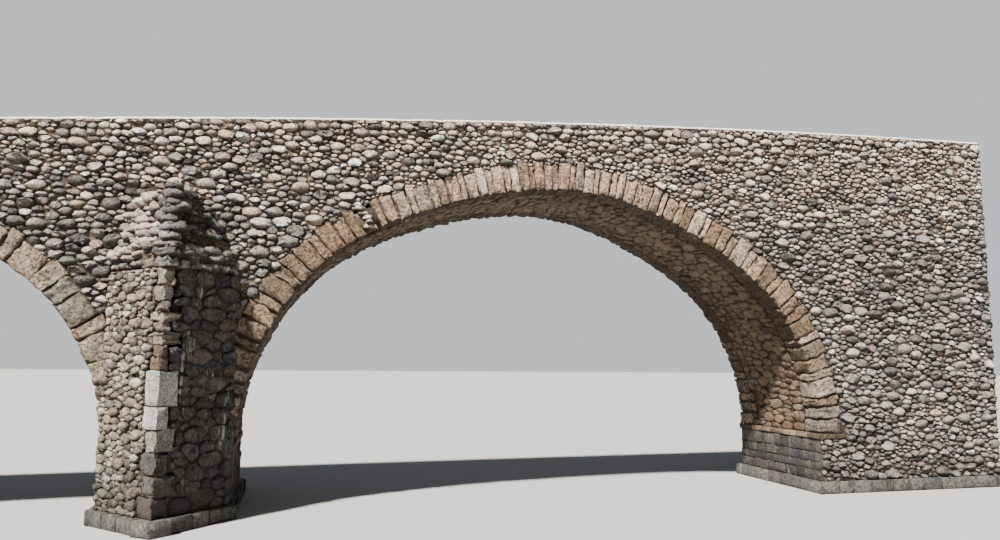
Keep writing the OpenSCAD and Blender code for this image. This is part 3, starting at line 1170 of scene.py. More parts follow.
class EffectGroups:
    """Shader node groups that several finishes share."""

    def __init__(self) -> None:
        """Builds each group once."""
        self.mottle_and_crest_highlight = self._build("stone mottle", ("Blotch", "Grain", "Amount"), self._mottle)
        self.pits = self._build("weather pits", ("Scale", "Share"), self._pits)
        self.lichen = self._build("lichen", ("Scale", "Share"), self._lichen)
        self.weather = self._build("streaks and damp", ("Streak", "Damp"), self._weather)

    @staticmethod
    def _build(name: str, inputs: Sequence[str], fill: Callable[..., dict[str, Wire]]) -> bpy.types.NodeTree:
        """Builds a group.

        Args:
            name: Its name.
            inputs: Names of the inputs that follow its vector.
            fill: Fills its sheet, from wires of all inputs, and gives its outputs.

        Returns:
            The group.
        """
        group = bpy.data.node_groups.new(name, "ShaderNodeTree")
        sheet = Sheet(group)
        group.interface.new_socket("Vector", in_out="INPUT", socket_type="NodeSocketVector")
        for title in inputs:
            group.interface.new_socket(title, in_out="INPUT", socket_type="NodeSocketFloat")
        start = sheet.put("NodeGroupInput")
        outputs = fill(sheet, *(Wire(sheet, start.outputs[title]) for title in ("Vector", *inputs)))
        for title in outputs:
            group.interface.new_socket(title, in_out="OUTPUT", socket_type="NodeSocketFloat")
        sheet.put("NodeGroupOutput", outputs)
        return group

    @staticmethod
    def _mottle(sheet: Sheet, vector: Wire, blotch: Wire, grain: Wire, amount: Wire) -> dict[str, Wire]:
        """Blotches and fine grain of stone, lighter where they stand higher, so that raised crests carry a
        painted highlight.

        Args:
            sheet: Sheet of the group.
            vector: Place.
            blotch: Scale of the blotches.
            grain: Scale of the grain.
            amount: How strong they are.

        Returns:
            Shade of the colour, and height.
        """
        blotches = sheet.noise(vector, blotch, 5)
        grains = sheet.noise(vector, grain, 3, 0.7)
        broad = sheet.noise(vector, 2.6)
        both = (blotches - 0.5) * 4.6 + (grains - 0.5) * 3.0 + (broad - 0.5) * 2.0
        shade = sheet.math("MAXIMUM", both * amount + 1.0, 0.12)
        return {"Shade": shade, "Height": blotches * 0.8 + grains * 0.2}

    @staticmethod
    def _pits(sheet: Sheet, vector: Wire, scale: Wire, share: Wire) -> dict[str, Wire]:
        """Small holes that weather has opened in stone.

        Args:
            sheet: Sheet of the group.
            vector: Place.
            scale: Scale of the holes.
            share: How much of the stone they take.

        Returns:
            Mask of the holes, and height.
        """
        where = sheet.span(sheet.noise(vector, 9, 3), 0.35, 0.65)
        mask = sheet.span(sheet.noise(vector, scale, 2.5) - (where * share * 0.17 + 0.29), 0.03, -0.03)
        return {"Mask": mask, "Height": sheet.math("SUBTRACT", 1.0, mask)}

    @staticmethod
    def _lichen(sheet: Sheet, vector: Wire, scale: Wire, share: Wire) -> dict[str, Wire]:
        """Crusts of pale and ochre lichen.

        Args:
            sheet: Sheet of the group.
            vector: Place.
            scale: Scale of the crusts.
            share: How much of the stone they take.

        Returns:
            Mask of each lichen.
        """
        bar = sheet.math("SUBTRACT", 0.78, share * 0.3)
        masks = {}
        for name, shift in (("Pale", (0, 0, 0)), ("Ochre", (31, 17, 5))):
            moved = sheet.wire("VectorMath", {0: vector, 1: shift}, operation="ADD")
            masks[name] = sheet.span(sheet.noise(moved, scale, 8, 0.68) - bar, 0.0, 0.05)
        return masks

    @staticmethod
    def _weather(sheet: Sheet, vector: Wire, streak: Wire, damp: Wire) -> dict[str, Wire]:
        """Streaks that run down a face, and damp near the ground.

        Args:
            sheet: Sheet of the group.
            vector: Place.
            streak: How dark the streaks are.
            damp: Height that the damp reaches.

        Returns:
            Masks of the streaks, the damp and the pale runs of calcite.
        """
        calcite = sheet.span(sheet.noise(sheet.scaled(vector, 8.0, 8.0, 1.1), 1.0, 7, 0.62), 0.58, 0.70)
        streaks = sheet.span(sheet.noise(sheet.scaled(vector, 4.0, 4.0, 0.55), 1.0, 6), 0.48, 0.72) * streak
        above = damp + (sheet.noise(vector, 1.7) - 0.5) * 1.6 - sheet.wire("SeparateXYZ", {0: vector}, "Z")
        wet = sheet.math("DIVIDE", above, 0.9, clamp=True)
        return {"Streak": streaks, "Damp": wet, "Calcite": calcite}


@dataclass(frozen=True)
class StoneFinish:
    """Weathered stone or mortar, coloured by each stone's own tint or by one base colour."""

    name: str
    base: Triple | None = None
    blotch: float = 22.0
    grain: float = 70.0
    mottle_and_crest_highlight: float = 0.62
    pit_scale: float = 48.0
    pits: float = 0.5
    lichen: float = 0.25
    ochre: float = 0.5
    streak: float = 0.35
    damp: float = 1.2
    # How strongly parts deep in the joints and worn block edges are darkened: partly dirt and mortar dust,
    # partly painted shade.
    recess_dirt_and_shade: float = 0.75
    # Painted shade: how strongly faces that look down are darkened.
    under: float = 0.55
    bump_depth: float = 0.085
    roughness: float = 0.88
    pale: Triple = linear(206, 202, 190)
    rust: Triple = linear(176, 128, 70)
    # Colour of dirt in streaks, pits, joints and damp, and of the painted shade on undersides and in
    # recesses.
    grime_and_shade: Triple = linear(74, 62, 52)
    patch: Triple | None = None
    calcite: float = 0.0
    band: float = 0.0

    def make(self, groups: EffectGroups) -> bpy.types.Material:
        """Builds the material.

        Args:
            groups: The shared effects.

        Returns:
            The finished material.
        """
        material = bpy.data.materials.new(self.name)
        material.use_nodes = True
        sheet = Sheet(material.node_tree)
        vector = sheet.wire("TexCoord", out="Object")
        scales = {"Blotch": self.blotch, "Grain": self.grain}
        mottle_and_crest_highlight = sheet.group(groups.mottle_and_crest_highlight, Vector=vector, Amount=self.mottle_and_crest_highlight, **scales)
        pits = sheet.group(groups.pits, Vector=vector, Scale=self.pit_scale, Share=self.pits)
        crust = sheet.group(groups.lichen, Vector=vector, Scale=7.0, Share=self.lichen)
        weather = sheet.group(groups.weather, Vector=vector, Streak=self.streak, Damp=self.damp)
        # The stone's own blotches and grain, with a painted highlight on raised crests.
        shade = sheet.wire("CombineColor", dict.fromkeys(("Red", "Green", "Blue"), mottle_and_crest_highlight["Shade"]))
        colour = sheet.mix(1.0, self._body(sheet, vector), shade, "MULTIPLY")
        layers = [
            (crust["Pale"] * 0.65, self.pale),
            (crust["Ochre"] * self.ochre, self.rust),
            (weather["Streak"] * 0.7, dim(self.grime_and_shade, 0.55)),
            # Pit holes darken: partly dirt, partly painted shade in the holes.
            (pits["Mask"] * 0.75, dim(self.grime_and_shade, 0.7)),
        ]
        if self.base is None:
            # Parts deep in the joints and worn block edges darken: partly dirt and mortar dust, partly
            # painted shade.
            recess = sheet.wire("Attribute", out="Fac", attribute_name="recess")
            wander = sheet.span(sheet.noise(vector, 22, 3), 0.25, 0.75, 0.6, 1.3)
            layers.append((sheet.math("MULTIPLY", recess * wander, self.recess_dirt_and_shade, clamp=True), self.grime_and_shade))
        # Painted shade: faces that look down are darkened, by the under share.
        down = sheet.wire("SeparateXYZ", {0: sheet.wire("NewGeometry", out="Normal")}, "Z")
        layers.append((sheet.span(down, 0.15, -0.65) * self.under, dim(self.grime_and_shade, 0.6)))
        if self.calcite:
            layers.append((weather["Calcite"] * self.calcite, self.pale))
        if self.band:
            across = sheet.math("ABSOLUTE", sheet.wire("SeparateXYZ", {0: vector}, "Y"))
            ragged = across + sheet.noise(vector, 1.6, 6, 0.65) * 1.1
            layers.append((sheet.span(ragged, 1.35, 0.75) * self.band, self.pale))
        layers.append((weather["Damp"] * 0.55, dim(self.grime_and_shade, 0.6)))
        for share, over in layers:
            colour = sheet.mix(share, colour, over)
        rough = sheet.span(mottle_and_crest_highlight["Height"], 0.3, 0.7, self.roughness + 0.07, self.roughness - 0.08)
        lump = mottle_and_crest_highlight["Height"] + pits["Height"] * 0.10
        normal = sheet.wire("Bump", {"Strength": 1.0, "Distance": self.bump_depth, "Height": lump})
        inputs = {"Base Color": colour, "Roughness": rough - weather["Damp"] * 0.2, "Normal": normal}
        skin = sheet.wire("BsdfPrincipled", {**inputs, "Specular IOR Level": 0.25})
        sheet.put("OutputMaterial", {"Surface": skin})
        return material

    def _body(self, sheet: Sheet, vector: Wire) -> Wire:
        """Colour of the clean stone or mortar.

        Args:
            sheet: Sheet of the material.
            vector: Place.

        Returns:
            The colour.
        """
        if self.base is None:
            return sheet.wire("Attribute", out="Color", attribute_name="tint")
        colour = sheet.mix(sheet.noise(vector, 3.0, 3, 0.5), self.base, dim(self.base, 0.8))
        if self.patch is not None:
            colour = sheet.mix(sheet.span(sheet.noise(vector, 2.4, 5), 0.5, 0.62), colour, self.patch)
        return colour


FINISHES = (
    StoneFinish(
        "river cobbles", blotch=26.0, mottle_and_crest_highlight=0.78, lichen=0.2, ochre=0.2, recess_dirt_and_shade=0.95, under=0.7,
        grime_and_shade=linear(46, 38, 32),
    ),
    StoneFinish(
        "ring sandstone", blotch=15.0, grain=56.0, mottle_and_crest_highlight=0.85, pit_scale=34.0, pits=1.0, lichen=0.3,
        ochre=0.25, streak=0.4, recess_dirt_and_shade=0.85, under=0.9, bump_depth=0.11, grime_and_shade=linear(66, 50, 38),
    ),
    StoneFinish(
        "vault slabs", blotch=11.0, lichen=0.06, streak=0.5, recess_dirt_and_shade=0.8, under=0.25, band=0.3,
        pale=linear(124, 104, 84), grime_and_shade=linear(44, 33, 25),
    ),
    StoneFinish(
        "pier blocks", blotch=15.0, mottle_and_crest_highlight=0.72, pits=0.7, lichen=0.3, ochre=0.1, streak=0.8, damp=1.5,
        recess_dirt_and_shade=0.95, calcite=0.55, grime_and_shade=linear(44, 43, 43),
    ),
    StoneFinish(
        "granite quoins", blotch=30.0, grain=90.0, mottle_and_crest_highlight=0.85, pit_scale=70.0, pits=0.8, lichen=0.2,
        ochre=0.2, streak=0.4, recess_dirt_and_shade=0.85, bump_depth=0.06,
    ),
    StoneFinish(
        "worn road stones", pits=0.3, lichen=0.1, streak=0.0, damp=-5.0, recess_dirt_and_shade=0.9, bump_depth=0.04,
        roughness=0.8,
    ),
    StoneFinish(
        "bedding mortar", base=linear(58, 50, 43), blotch=18.0, pit_scale=45.0, lichen=0.03,
        patch=linear(100, 88, 76),
    ),
    StoneFinish("vault mortar", base=linear(52, 42, 34), blotch=16.0, lichen=0.03),
    StoneFinish(
        "capping mortar", base=linear(240, 230, 214), blotch=12.0, mottle_and_crest_highlight=0.25, pit_scale=36.0, pits=0.35,
        lichen=0.1, ochre=0.1, streak=0.05, under=0.3, bump_depth=0.04,
    ),
    StoneFinish("packed road earth", base=linear(128, 112, 92), lichen=0.0, streak=0.0, damp=-5.0),
)


class Yard:
    """Stock and finishes that all sub-assemblies share."""

    def __init__(self) -> None:
        """Makes the finishes and models the stock."""
        groups = EffectGroups()
        self.finishes = {finish.name: finish.make(groups) for finish in FINISHES}
        quarry = Quarry()
        small = quarry.dome(6, (1.08, -0.5), (0.86, 0.72))
        middling = quarry.dome(9, (0.86, -1.0), (1.0, 0.22), (0.80, 0.78))
        large = quarry.dome(12, (0.86, -1.0), (1.0, 0.20), (0.82, 0.76))
        flat = quarry.dome(8, (0.94, -1.0), (1.0, 0.45), (0.86, 0.90))
        slab = quarry.dome(11, (0.94, -1.0), (1.0, 0.5), (0.9, 0.92))
        self.cobbles: Stocks = ((0.0, small), (0.043, middling), (0.075, large))
        self.rubble: Stocks = ((0.0, small), (0.034, slab))
        self.flats: Stocks = ((0.0, flat),)
        self.slabs: Stocks = ((0.0, slab),)
        self.chip = quarry.dome(6, (0.9, -1.0), (0.8, 0.72))
        self.fine_block = quarry.block(3)
        self.plain_block = quarry.block(1)
        self.boulder = quarry.boulder()

    def dress_nodes(self) -> None:
        """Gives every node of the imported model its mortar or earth."""
        special = {node: "vault mortar" for node in ("main_vault", "left_vault", "road_fill")}
        special["road"] = "packed road earth"
        for name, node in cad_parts.items():
            for slot in node.material_slots:
                slot.material = self.finishes[special.get(name, "bedding mortar")]

    def heap(self, pile: Pile, centres: Array, sizes: Array, tint: Array, rng: Rng) -> None:
        """Adds loose rounded stones.

        Args:
            pile: The pile that takes them.
            centres: Their middles.
            sizes: Their half sizes.
            tint: Their colours.
            rng: Source of their shapes.
        """
        stock, count = self.boulder, len(centres)
        unit = np.broadcast_to(stock.points, (count, *stock.points.shape))
        lumps = unit + rng.uniform(-40, 40, (count, 1, 3))
        swell = 1 + 0.22 * ripple(lumps, 1.4, rng) + rng.normal(0, 0.07, unit.shape[:2])
        x, y, z = np.moveaxis(unit * swell[..., None] * sizes[:, None, :], -1, 0)
        turn = rng.uniform(0, TWO_PI, count)
        c, s = np.cos(turn)[:, None], np.sin(turn)[:, None]
        points = np.stack([c * x - s * y, s * x + c * y, z], -1)
        # The lower half of each stone darkens towards its underside as painted shade.
        pile.add(stock, points + centres[:, None, :], tint, np.clip(-stock.points[:, 2], 0, 1) * 0.8)


def rectangle(u: Pair, v: Pair) -> Array:
    """Outline of an upright rectangle, from its first and last places along and up."""
    return np.array([(u[0], v[0]), (u[1], v[0]), (u[1], v[1]), (u[0], v[1])])


@dataclass
class LongWall:
    """Cobbles of one long face, from the footing to the capping, and of its parapet's inner face."""

    yard: Yard
    side: Side
    seed: int
    top_courses: int = 3
    top_course_h: float = 0.108
    shaft_clear: float = 1.03

    def outline(self) -> Array:
        """Outline of the cobbled face.

        Returns:
            Corners along and up the wall.
        """
        left, main = LEFT_ARCH.outer_ends(), MAIN_ARCH.outer_ends()
        clear, low = self.shaft_clear, SPRINGING + 0.01
        left = left[(left[:, 0] < -clear) & (left[:, 1] > low)]
        main = main[((main[:, 0] > clear) | (main[:, 1] > SHAFT_TOP)) & (main[:, 1] > low)]
        x = np.linspace(RIGHT_END, LEFT_END, 40)
        under = SPRINGING - IMPOST_H
        start = [(LEFT_END, FOOTING_H), (LEFT_SPRING, FOOTING_H), (LEFT_SPRING, under)]
        start += [(LEFT_SPRING - IMPOST_RUN, under), (LEFT_SPRING - IMPOST_RUN, SPRINGING)]
        pier = [(-clear, SHAFT_TOP + 0.1), (clear, SHAFT_TOP + 0.1)]
        end = [(RIGHT_SPRING + IMPOST_RUN, SPRINGING), (RIGHT_SPRING + IMPOST_RUN, under)]
        end += [(RIGHT_SPRING, under), (RIGHT_SPRING, FOOTING_H), (RIGHT_END, FOOTING_H)]
        return np.concatenate([start, left, pier, main, end, np.stack([x, top_line(x) - CAPPING_H], 1)])

    @staticmethod
    def grade(u: Array, v: Array) -> Array:
        """How large the stones are at a place: larger low over the pier, smaller by the parapet."""
        low = np.clip((6.3 - v) / 2.6, 0, 1)
        return 0.86 + low * (0.14 + 0.28 * np.exp(-(((u - 1.5) / 5.0) ** 2)))

    def seeds(self, rng: Rng) -> Array:
        """Sets out mixed stones under a band of courses that follow the top line.

        Args:
            rng: Source of the random sizes.

        Returns:
            Place along, place up, and half width of each stone.
        """
        band = self.top_courses * self.top_course_h
        level = mixed_seeds(Coursing(), self.outline(), COBBLE_SORTS, rng, self.grade)
        level = level[level[:, 1] < top_line(level[:, 0]) - CAPPING_H - band]
        courses = Coursing(height=self.top_course_h, width=0.17)
        top = course_seeds(courses, (LEFT_END, RIGHT_END), (-band, 0.0), rng)
        top[:, 1] += top_line(top[:, 0]) - CAPPING_H
        return np.concatenate([level, top])

    @staticmethod
    def tints(places: Array, rng: Rng) -> Array:
        """Warm stones towards the parapet and greyer, darker ones low over the pier: partly the stones' own
        tone and partly painted shadow of trees.

        Args:
            places: Places along and up the wall.
            rng: Source of the draws.

        Returns:
            Colour of each stone.
        """
        warm, grey = COBBLES.draw(len(places), rng), GREY_COBBLES.draw(len(places), rng)
        share = np.clip((places[:, 1] - 4.6) / 2.4, 0.1, 1)
        return np.where((rng.random(len(places)) < share)[:, None], warm, grey)

    def build(self) -> None:
        """Lays the outer face, split at the pier and at the parapet, and the parapet's inner face."""
        rng = np.random.default_rng(self.seed)
        sign, side = self.side.sign, self.side.value
        bed = Plane((0, sign * HALF_WIDTH, 0), (1, 0, 0), (0, 0, 1), (0, sign, 0))
        whole = Pile("whole")
        mason = RubbleMason(Coursing(), self.yard.cobbles, rng.integers(LAST_SEED))
        mason.lay(whole, bed, self.seeds(rng), self.outline(), self.tints)
        mason.pin(whole, bed, self.yard.chip, COBBLES)
        names = (f"wall_cobbles_{side}_left", f"wall_cobbles_{side}_main", f"parapet_cobbles_{side}")
        for part, name in enumerate(names):
            pile = Pile(name)
            for stock, points, tint, recess, turned in whole.batches:
                middle = points.mean(1)
                high = middle[:, 2] > top_line(middle[:, 0]) - ROAD_DROP
                chosen = np.where(high, 2, middle[:, 0] >= 0) == part
                pile.add(stock, points[chosen], tint[chosen], recess, turned)
            if name.startswith("parapet"):
                self.inner_face(pile, rng)
            pile.raise_piece(self.yard.finishes["river cobbles"], "cobble_wall", crease=COBBLE_CREASE)

    def inner_face(self, pile: Pile, rng: Rng) -> None:
        """Lays the parapet's inner face.

        Args:
            pile: Pile of the parapet.
            rng: Source of the random sizes.
        """
        sign = self.side.sign
        bed = Plane((0, sign * (HALF_WIDTH - PARAPET_T), 0), (1, 0, 0), (0, 0, 1), (0, -sign, 0))
        coursing = Coursing(height=0.17, width=0.28, relief=(0.020, 0.038))
        x = np.linspace(RIGHT_END, LEFT_END, 40)
        edges = ((x[::-1], ROAD_DROP), (x, CAPPING_H))
        outline = np.concatenate([np.stack([u, top_line(u) - drop], 1) for u, drop in edges])
        seeds = course_seeds(coursing, (LEFT_END, RIGHT_END), (-ROAD_DROP, -CAPPING_H), rng)
        seeds[:, 1] += top_line(seeds[:, 0])
        mason = RubbleMason(coursing, self.yard.flats, rng.integers(LAST_SEED))
        mason.lay(pile, bed, seeds, outline, COBBLES)


@dataclass
class EndWall:
    """Cobbles of the wall that closes one end, with the ends of its parapets."""

    yard: Yard
    name: str
    x: float
    way: float
    seed: int

    def build(self) -> None:
        """Lays the end's cobbles up to the road and the tops of the parapets."""
        rng = np.random.default_rng(self.seed)
        top = float(top_line(np.array(self.x)))
        wide, gap = HALF_WIDTH, HALF_WIDTH - PARAPET_T
        road, cap = top - ROAD_DROP, top - CAPPING_H
        right = [(wide, FOOTING_H), (wide, cap), (gap, cap), (gap, road)]
        outline = np.array([(-wide, FOOTING_H), *right, (-gap, road), (-gap, cap), (-wide, cap)])
        bed = Plane((self.x, 0, 0), (0, 1, 0), (0, 0, 1), (self.way, 0, 0))
        coursing = Coursing()
        pile = Pile(self.name)
        seeds = mixed_seeds(coursing, outline, COBBLE_SORTS, rng)
        mason = RubbleMason(coursing, self.yard.cobbles, self.seed + 1)
        mason.lay(pile, bed, seeds, outline, GREY_COBBLES)
        pile.raise_piece(self.yard.finishes["river cobbles"], "cobble_wall", crease=COBBLE_CREASE)


@dataclass
class ArchRing:
    """Ring stones of one arch on one side, over a mortar core."""

    yard: Yard
    arch: Arch
    side: Side
    seed: int
    slot: int | None = None
    core_recess: float = 0.048

    def tints(self, middles: Array, rng: Rng) -> Array:
        """Pale stones at the crown, browner ones down the haunches and grey ones near the springings.

        Args:
            middles: Angle of each stone's middle in degrees.
            rng: Source of the draws.

        Returns:
            Colour of each stone.
        """
        count = len(middles)
        if self.arch is LEFT_ARCH:
            return LEFT_STONES.draw(count, rng)
        high = np.sin(np.radians(middles))
        crown, haunch, foot = (p.draw(count, rng) for p in (CROWN_STONES, HAUNCH_STONES, LEFT_STONES))
        body = np.where((rng.random(count) < np.clip((high - 0.62) / 0.3, 0, 1))[:, None], crown, haunch)
        return np.where((rng.random(count) < np.clip((0.45 - high) / 0.25, 0, 0.8))[:, None], foot, body)

    def build(self) -> None:
        """Lays the ring stones and their core."""
        rng = np.random.default_rng(self.seed)
        arch, sign, side = self.arch, self.side.sign, self.side.value
        joints, depths, count = arch.joints(), arch.depths(), arch.stones
        ways, low = arch.outward(joints), arch.soffit(joints)
        along = np.diff(low, axis=0)
        along /= np.linalg.norm(along, axis=1, keepdims=True)
        corners = np.zeros((count, 8, 3))
        for k, (i, j, f) in enumerate(CORNERS):
            at = np.arange(count) + i
            depth = depths if j else rng.uniform(-0.012, 0.010, count)
            gap = RING_JOINT / 2 + rng.uniform(-0.003, 0.003, count)
            flat = low[at] + depth[:, None] * ways[at] + along * (gap * (1 - 2 * i))[:, None]
            corners[:, k, ::2] = flat + rng.uniform(-0.004, 0.004, (count, 2))
            corners[:, k, 1] = sign * (RING_Y if f else INNER_Y)
        set_back = RING_UNEVEN * (1 + np.sin(np.radians(97 * np.arange(count) + 40))) / 2
        corners[:, 4:, 1] += sign * (rng.uniform(-0.006, 0.006, (count, 4)) - set_back[:, None] + 0.006)
        pile = Pile(f"{arch.name}_ring_stones_{side}")
        mason = BlockMason(self.yard.fine_block, np.random.default_rng(self.seed + 1))
        tints = self.tints((joints[1:] + joints[:-1]) / 2, rng)
        laid = np.arange(count) != self.slot
        mason.lay(pile, corners[laid], tints[laid], (0.018, 0.048), 0.016, self.side is Side.BACK)
        if self.slot is not None:
            self.fill_slot(pile, corners[self.slot], rng)
        pile.raise_piece(self.yard.finishes["ring sandstone"], "ring_stone", f"{arch.name}_ring_{side}")
        self.core()

    def fill_slot(self, pile: Pile, corners: Array, rng: Rng) -> None:
        """Stacks small cobbles where one ring stone is missing.

        Args:
            pile: The pile that takes them.
            corners: Corners of the missing stone.
            rng: Source of their shapes.
        """
        share = np.array((0.17, 0.37, 0.57, 0.77, 0.96))[:, None]
        low, high = corners[[4, 5]].mean(0), corners[[6, 7]].mean(0)
        wide = np.linalg.norm(corners[5] - corners[4]) / 2
        centres = low + share * (high - low)
        centres[:, 1] -= self.side.sign * 0.09
        sizes = rng.uniform(0.85, 1.05, (len(share), 1)) * np.array((wide * 1.12, 0.09, 0.066))
        self.yard.heap(pile, centres, sizes, COBBLES.draw(len(share), rng), rng)

    def core(self) -> None:
        """Builds the mortar core behind the stones' faces."""
        arch, sign, recess = self.arch, self.side.sign, self.core_recess
        t = arch.joints()
        depths = (recess, arch.ring_depth - RING_RAGGED - recess)
        near, far = (arch.soffit(t) + depth * arch.outward(t) for depth in depths)
        face, back = sign * (RING_Y - recess), sign * INNER_Y
        edges = ((near, face), (far, face), (far, back), (near, back))
        sections = np.stack([np.insert(places, 1, y, axis=1) for places, y in edges], 1)
        pile = Pile(f"{arch.name}_ring_core_{self.side.value}")
        pile.add_solid(loft(sections), linear(112, 98, 84), turned=sign > 0)
        pile.raise_piece(self.yard.finishes["bedding mortar"], "ring_stone")


@dataclass
class Vault:
    """Rough slabs on the soffit of one vault."""

    yard: Yard
    arch: Arch
    seed: int
    coursing: Coursing = Coursing(
        height=0.36, width=0.13, joint=0.002, relief=(0.010, 0.034), squeeze=2.1, rounding=0, oval=(1.2, 1.6),
        farthest=0.3, tilt=0.06,
    )

    def build(self) -> None:
        """Lays the slabs between the two rings."""
        bed = VaultBed(self.arch)
        span, rise = (0.0, bed.length), (-INNER_Y, INNER_Y)
        seeds = course_seeds(self.coursing, span, rise, np.random.default_rng(self.seed))
        pile = Pile(f"{self.arch.name}_vault_slabs")
        mason = RubbleMason(self.coursing, self.yard.flats, self.seed + 1)
        mason.lay(pile, bed, seeds, rectangle(span, rise), BROWN_RUBBLE)
        pile.raise_piece(self.yard.finishes["vault slabs"], "vault_rubble")


@dataclass
class Roadway:
    """Worn cobbles of the road."""

    yard: Yard
    seed: int
    coursing: Coursing = Coursing(
        height=0.24, width=0.27, relief=(0.010, 0.026), squeeze=0.65, tilt=0.04, joint=0.007, farthest=0.22
    )

    def build(self) -> None:
        """Lays the road from end to end."""
        span, rise = (LEFT_END, RIGHT_END), (PARAPET_T - HALF_WIDTH, HALF_WIDTH - PARAPET_T)
        seeds = course_seeds(self.coursing, span, rise, np.random.default_rng(self.seed))
        pile = Pile("road_cobbles")
        mason = RubbleMason(self.coursing, self.yard.flats, self.seed + 1)
        mason.lay(pile, RoadBed(), seeds, rectangle(span, rise), COBBLES)
        pile.raise_piece(self.yard.finishes["worn road stones"], "road_cobble")


def cutwater_face(side: Side, hand: float) -> tuple[Plane, float]:
    """Bed on one face of a cutwater, from the arris to the wall.

    Args:
        side: Which cutwater.
        hand: -1 for the face towards the left arch, 1 for the one towards the main arch.

    Returns:
        The bed and its length.
    """
    length = math.hypot(HALF_PIER, CUTWATER_REACH)
    tip = (0.0, side.sign * (HALF_WIDTH + CUTWATER_REACH), 0.0)
    along = (hand * HALF_PIER / length, -side.sign * CUTWATER_REACH / length, 0.0)
    out = (hand * CUTWATER_REACH / length, side.sign * HALF_PIER / length, 0.0)
    return Plane(tip, along, (0, 0, 1), out), length


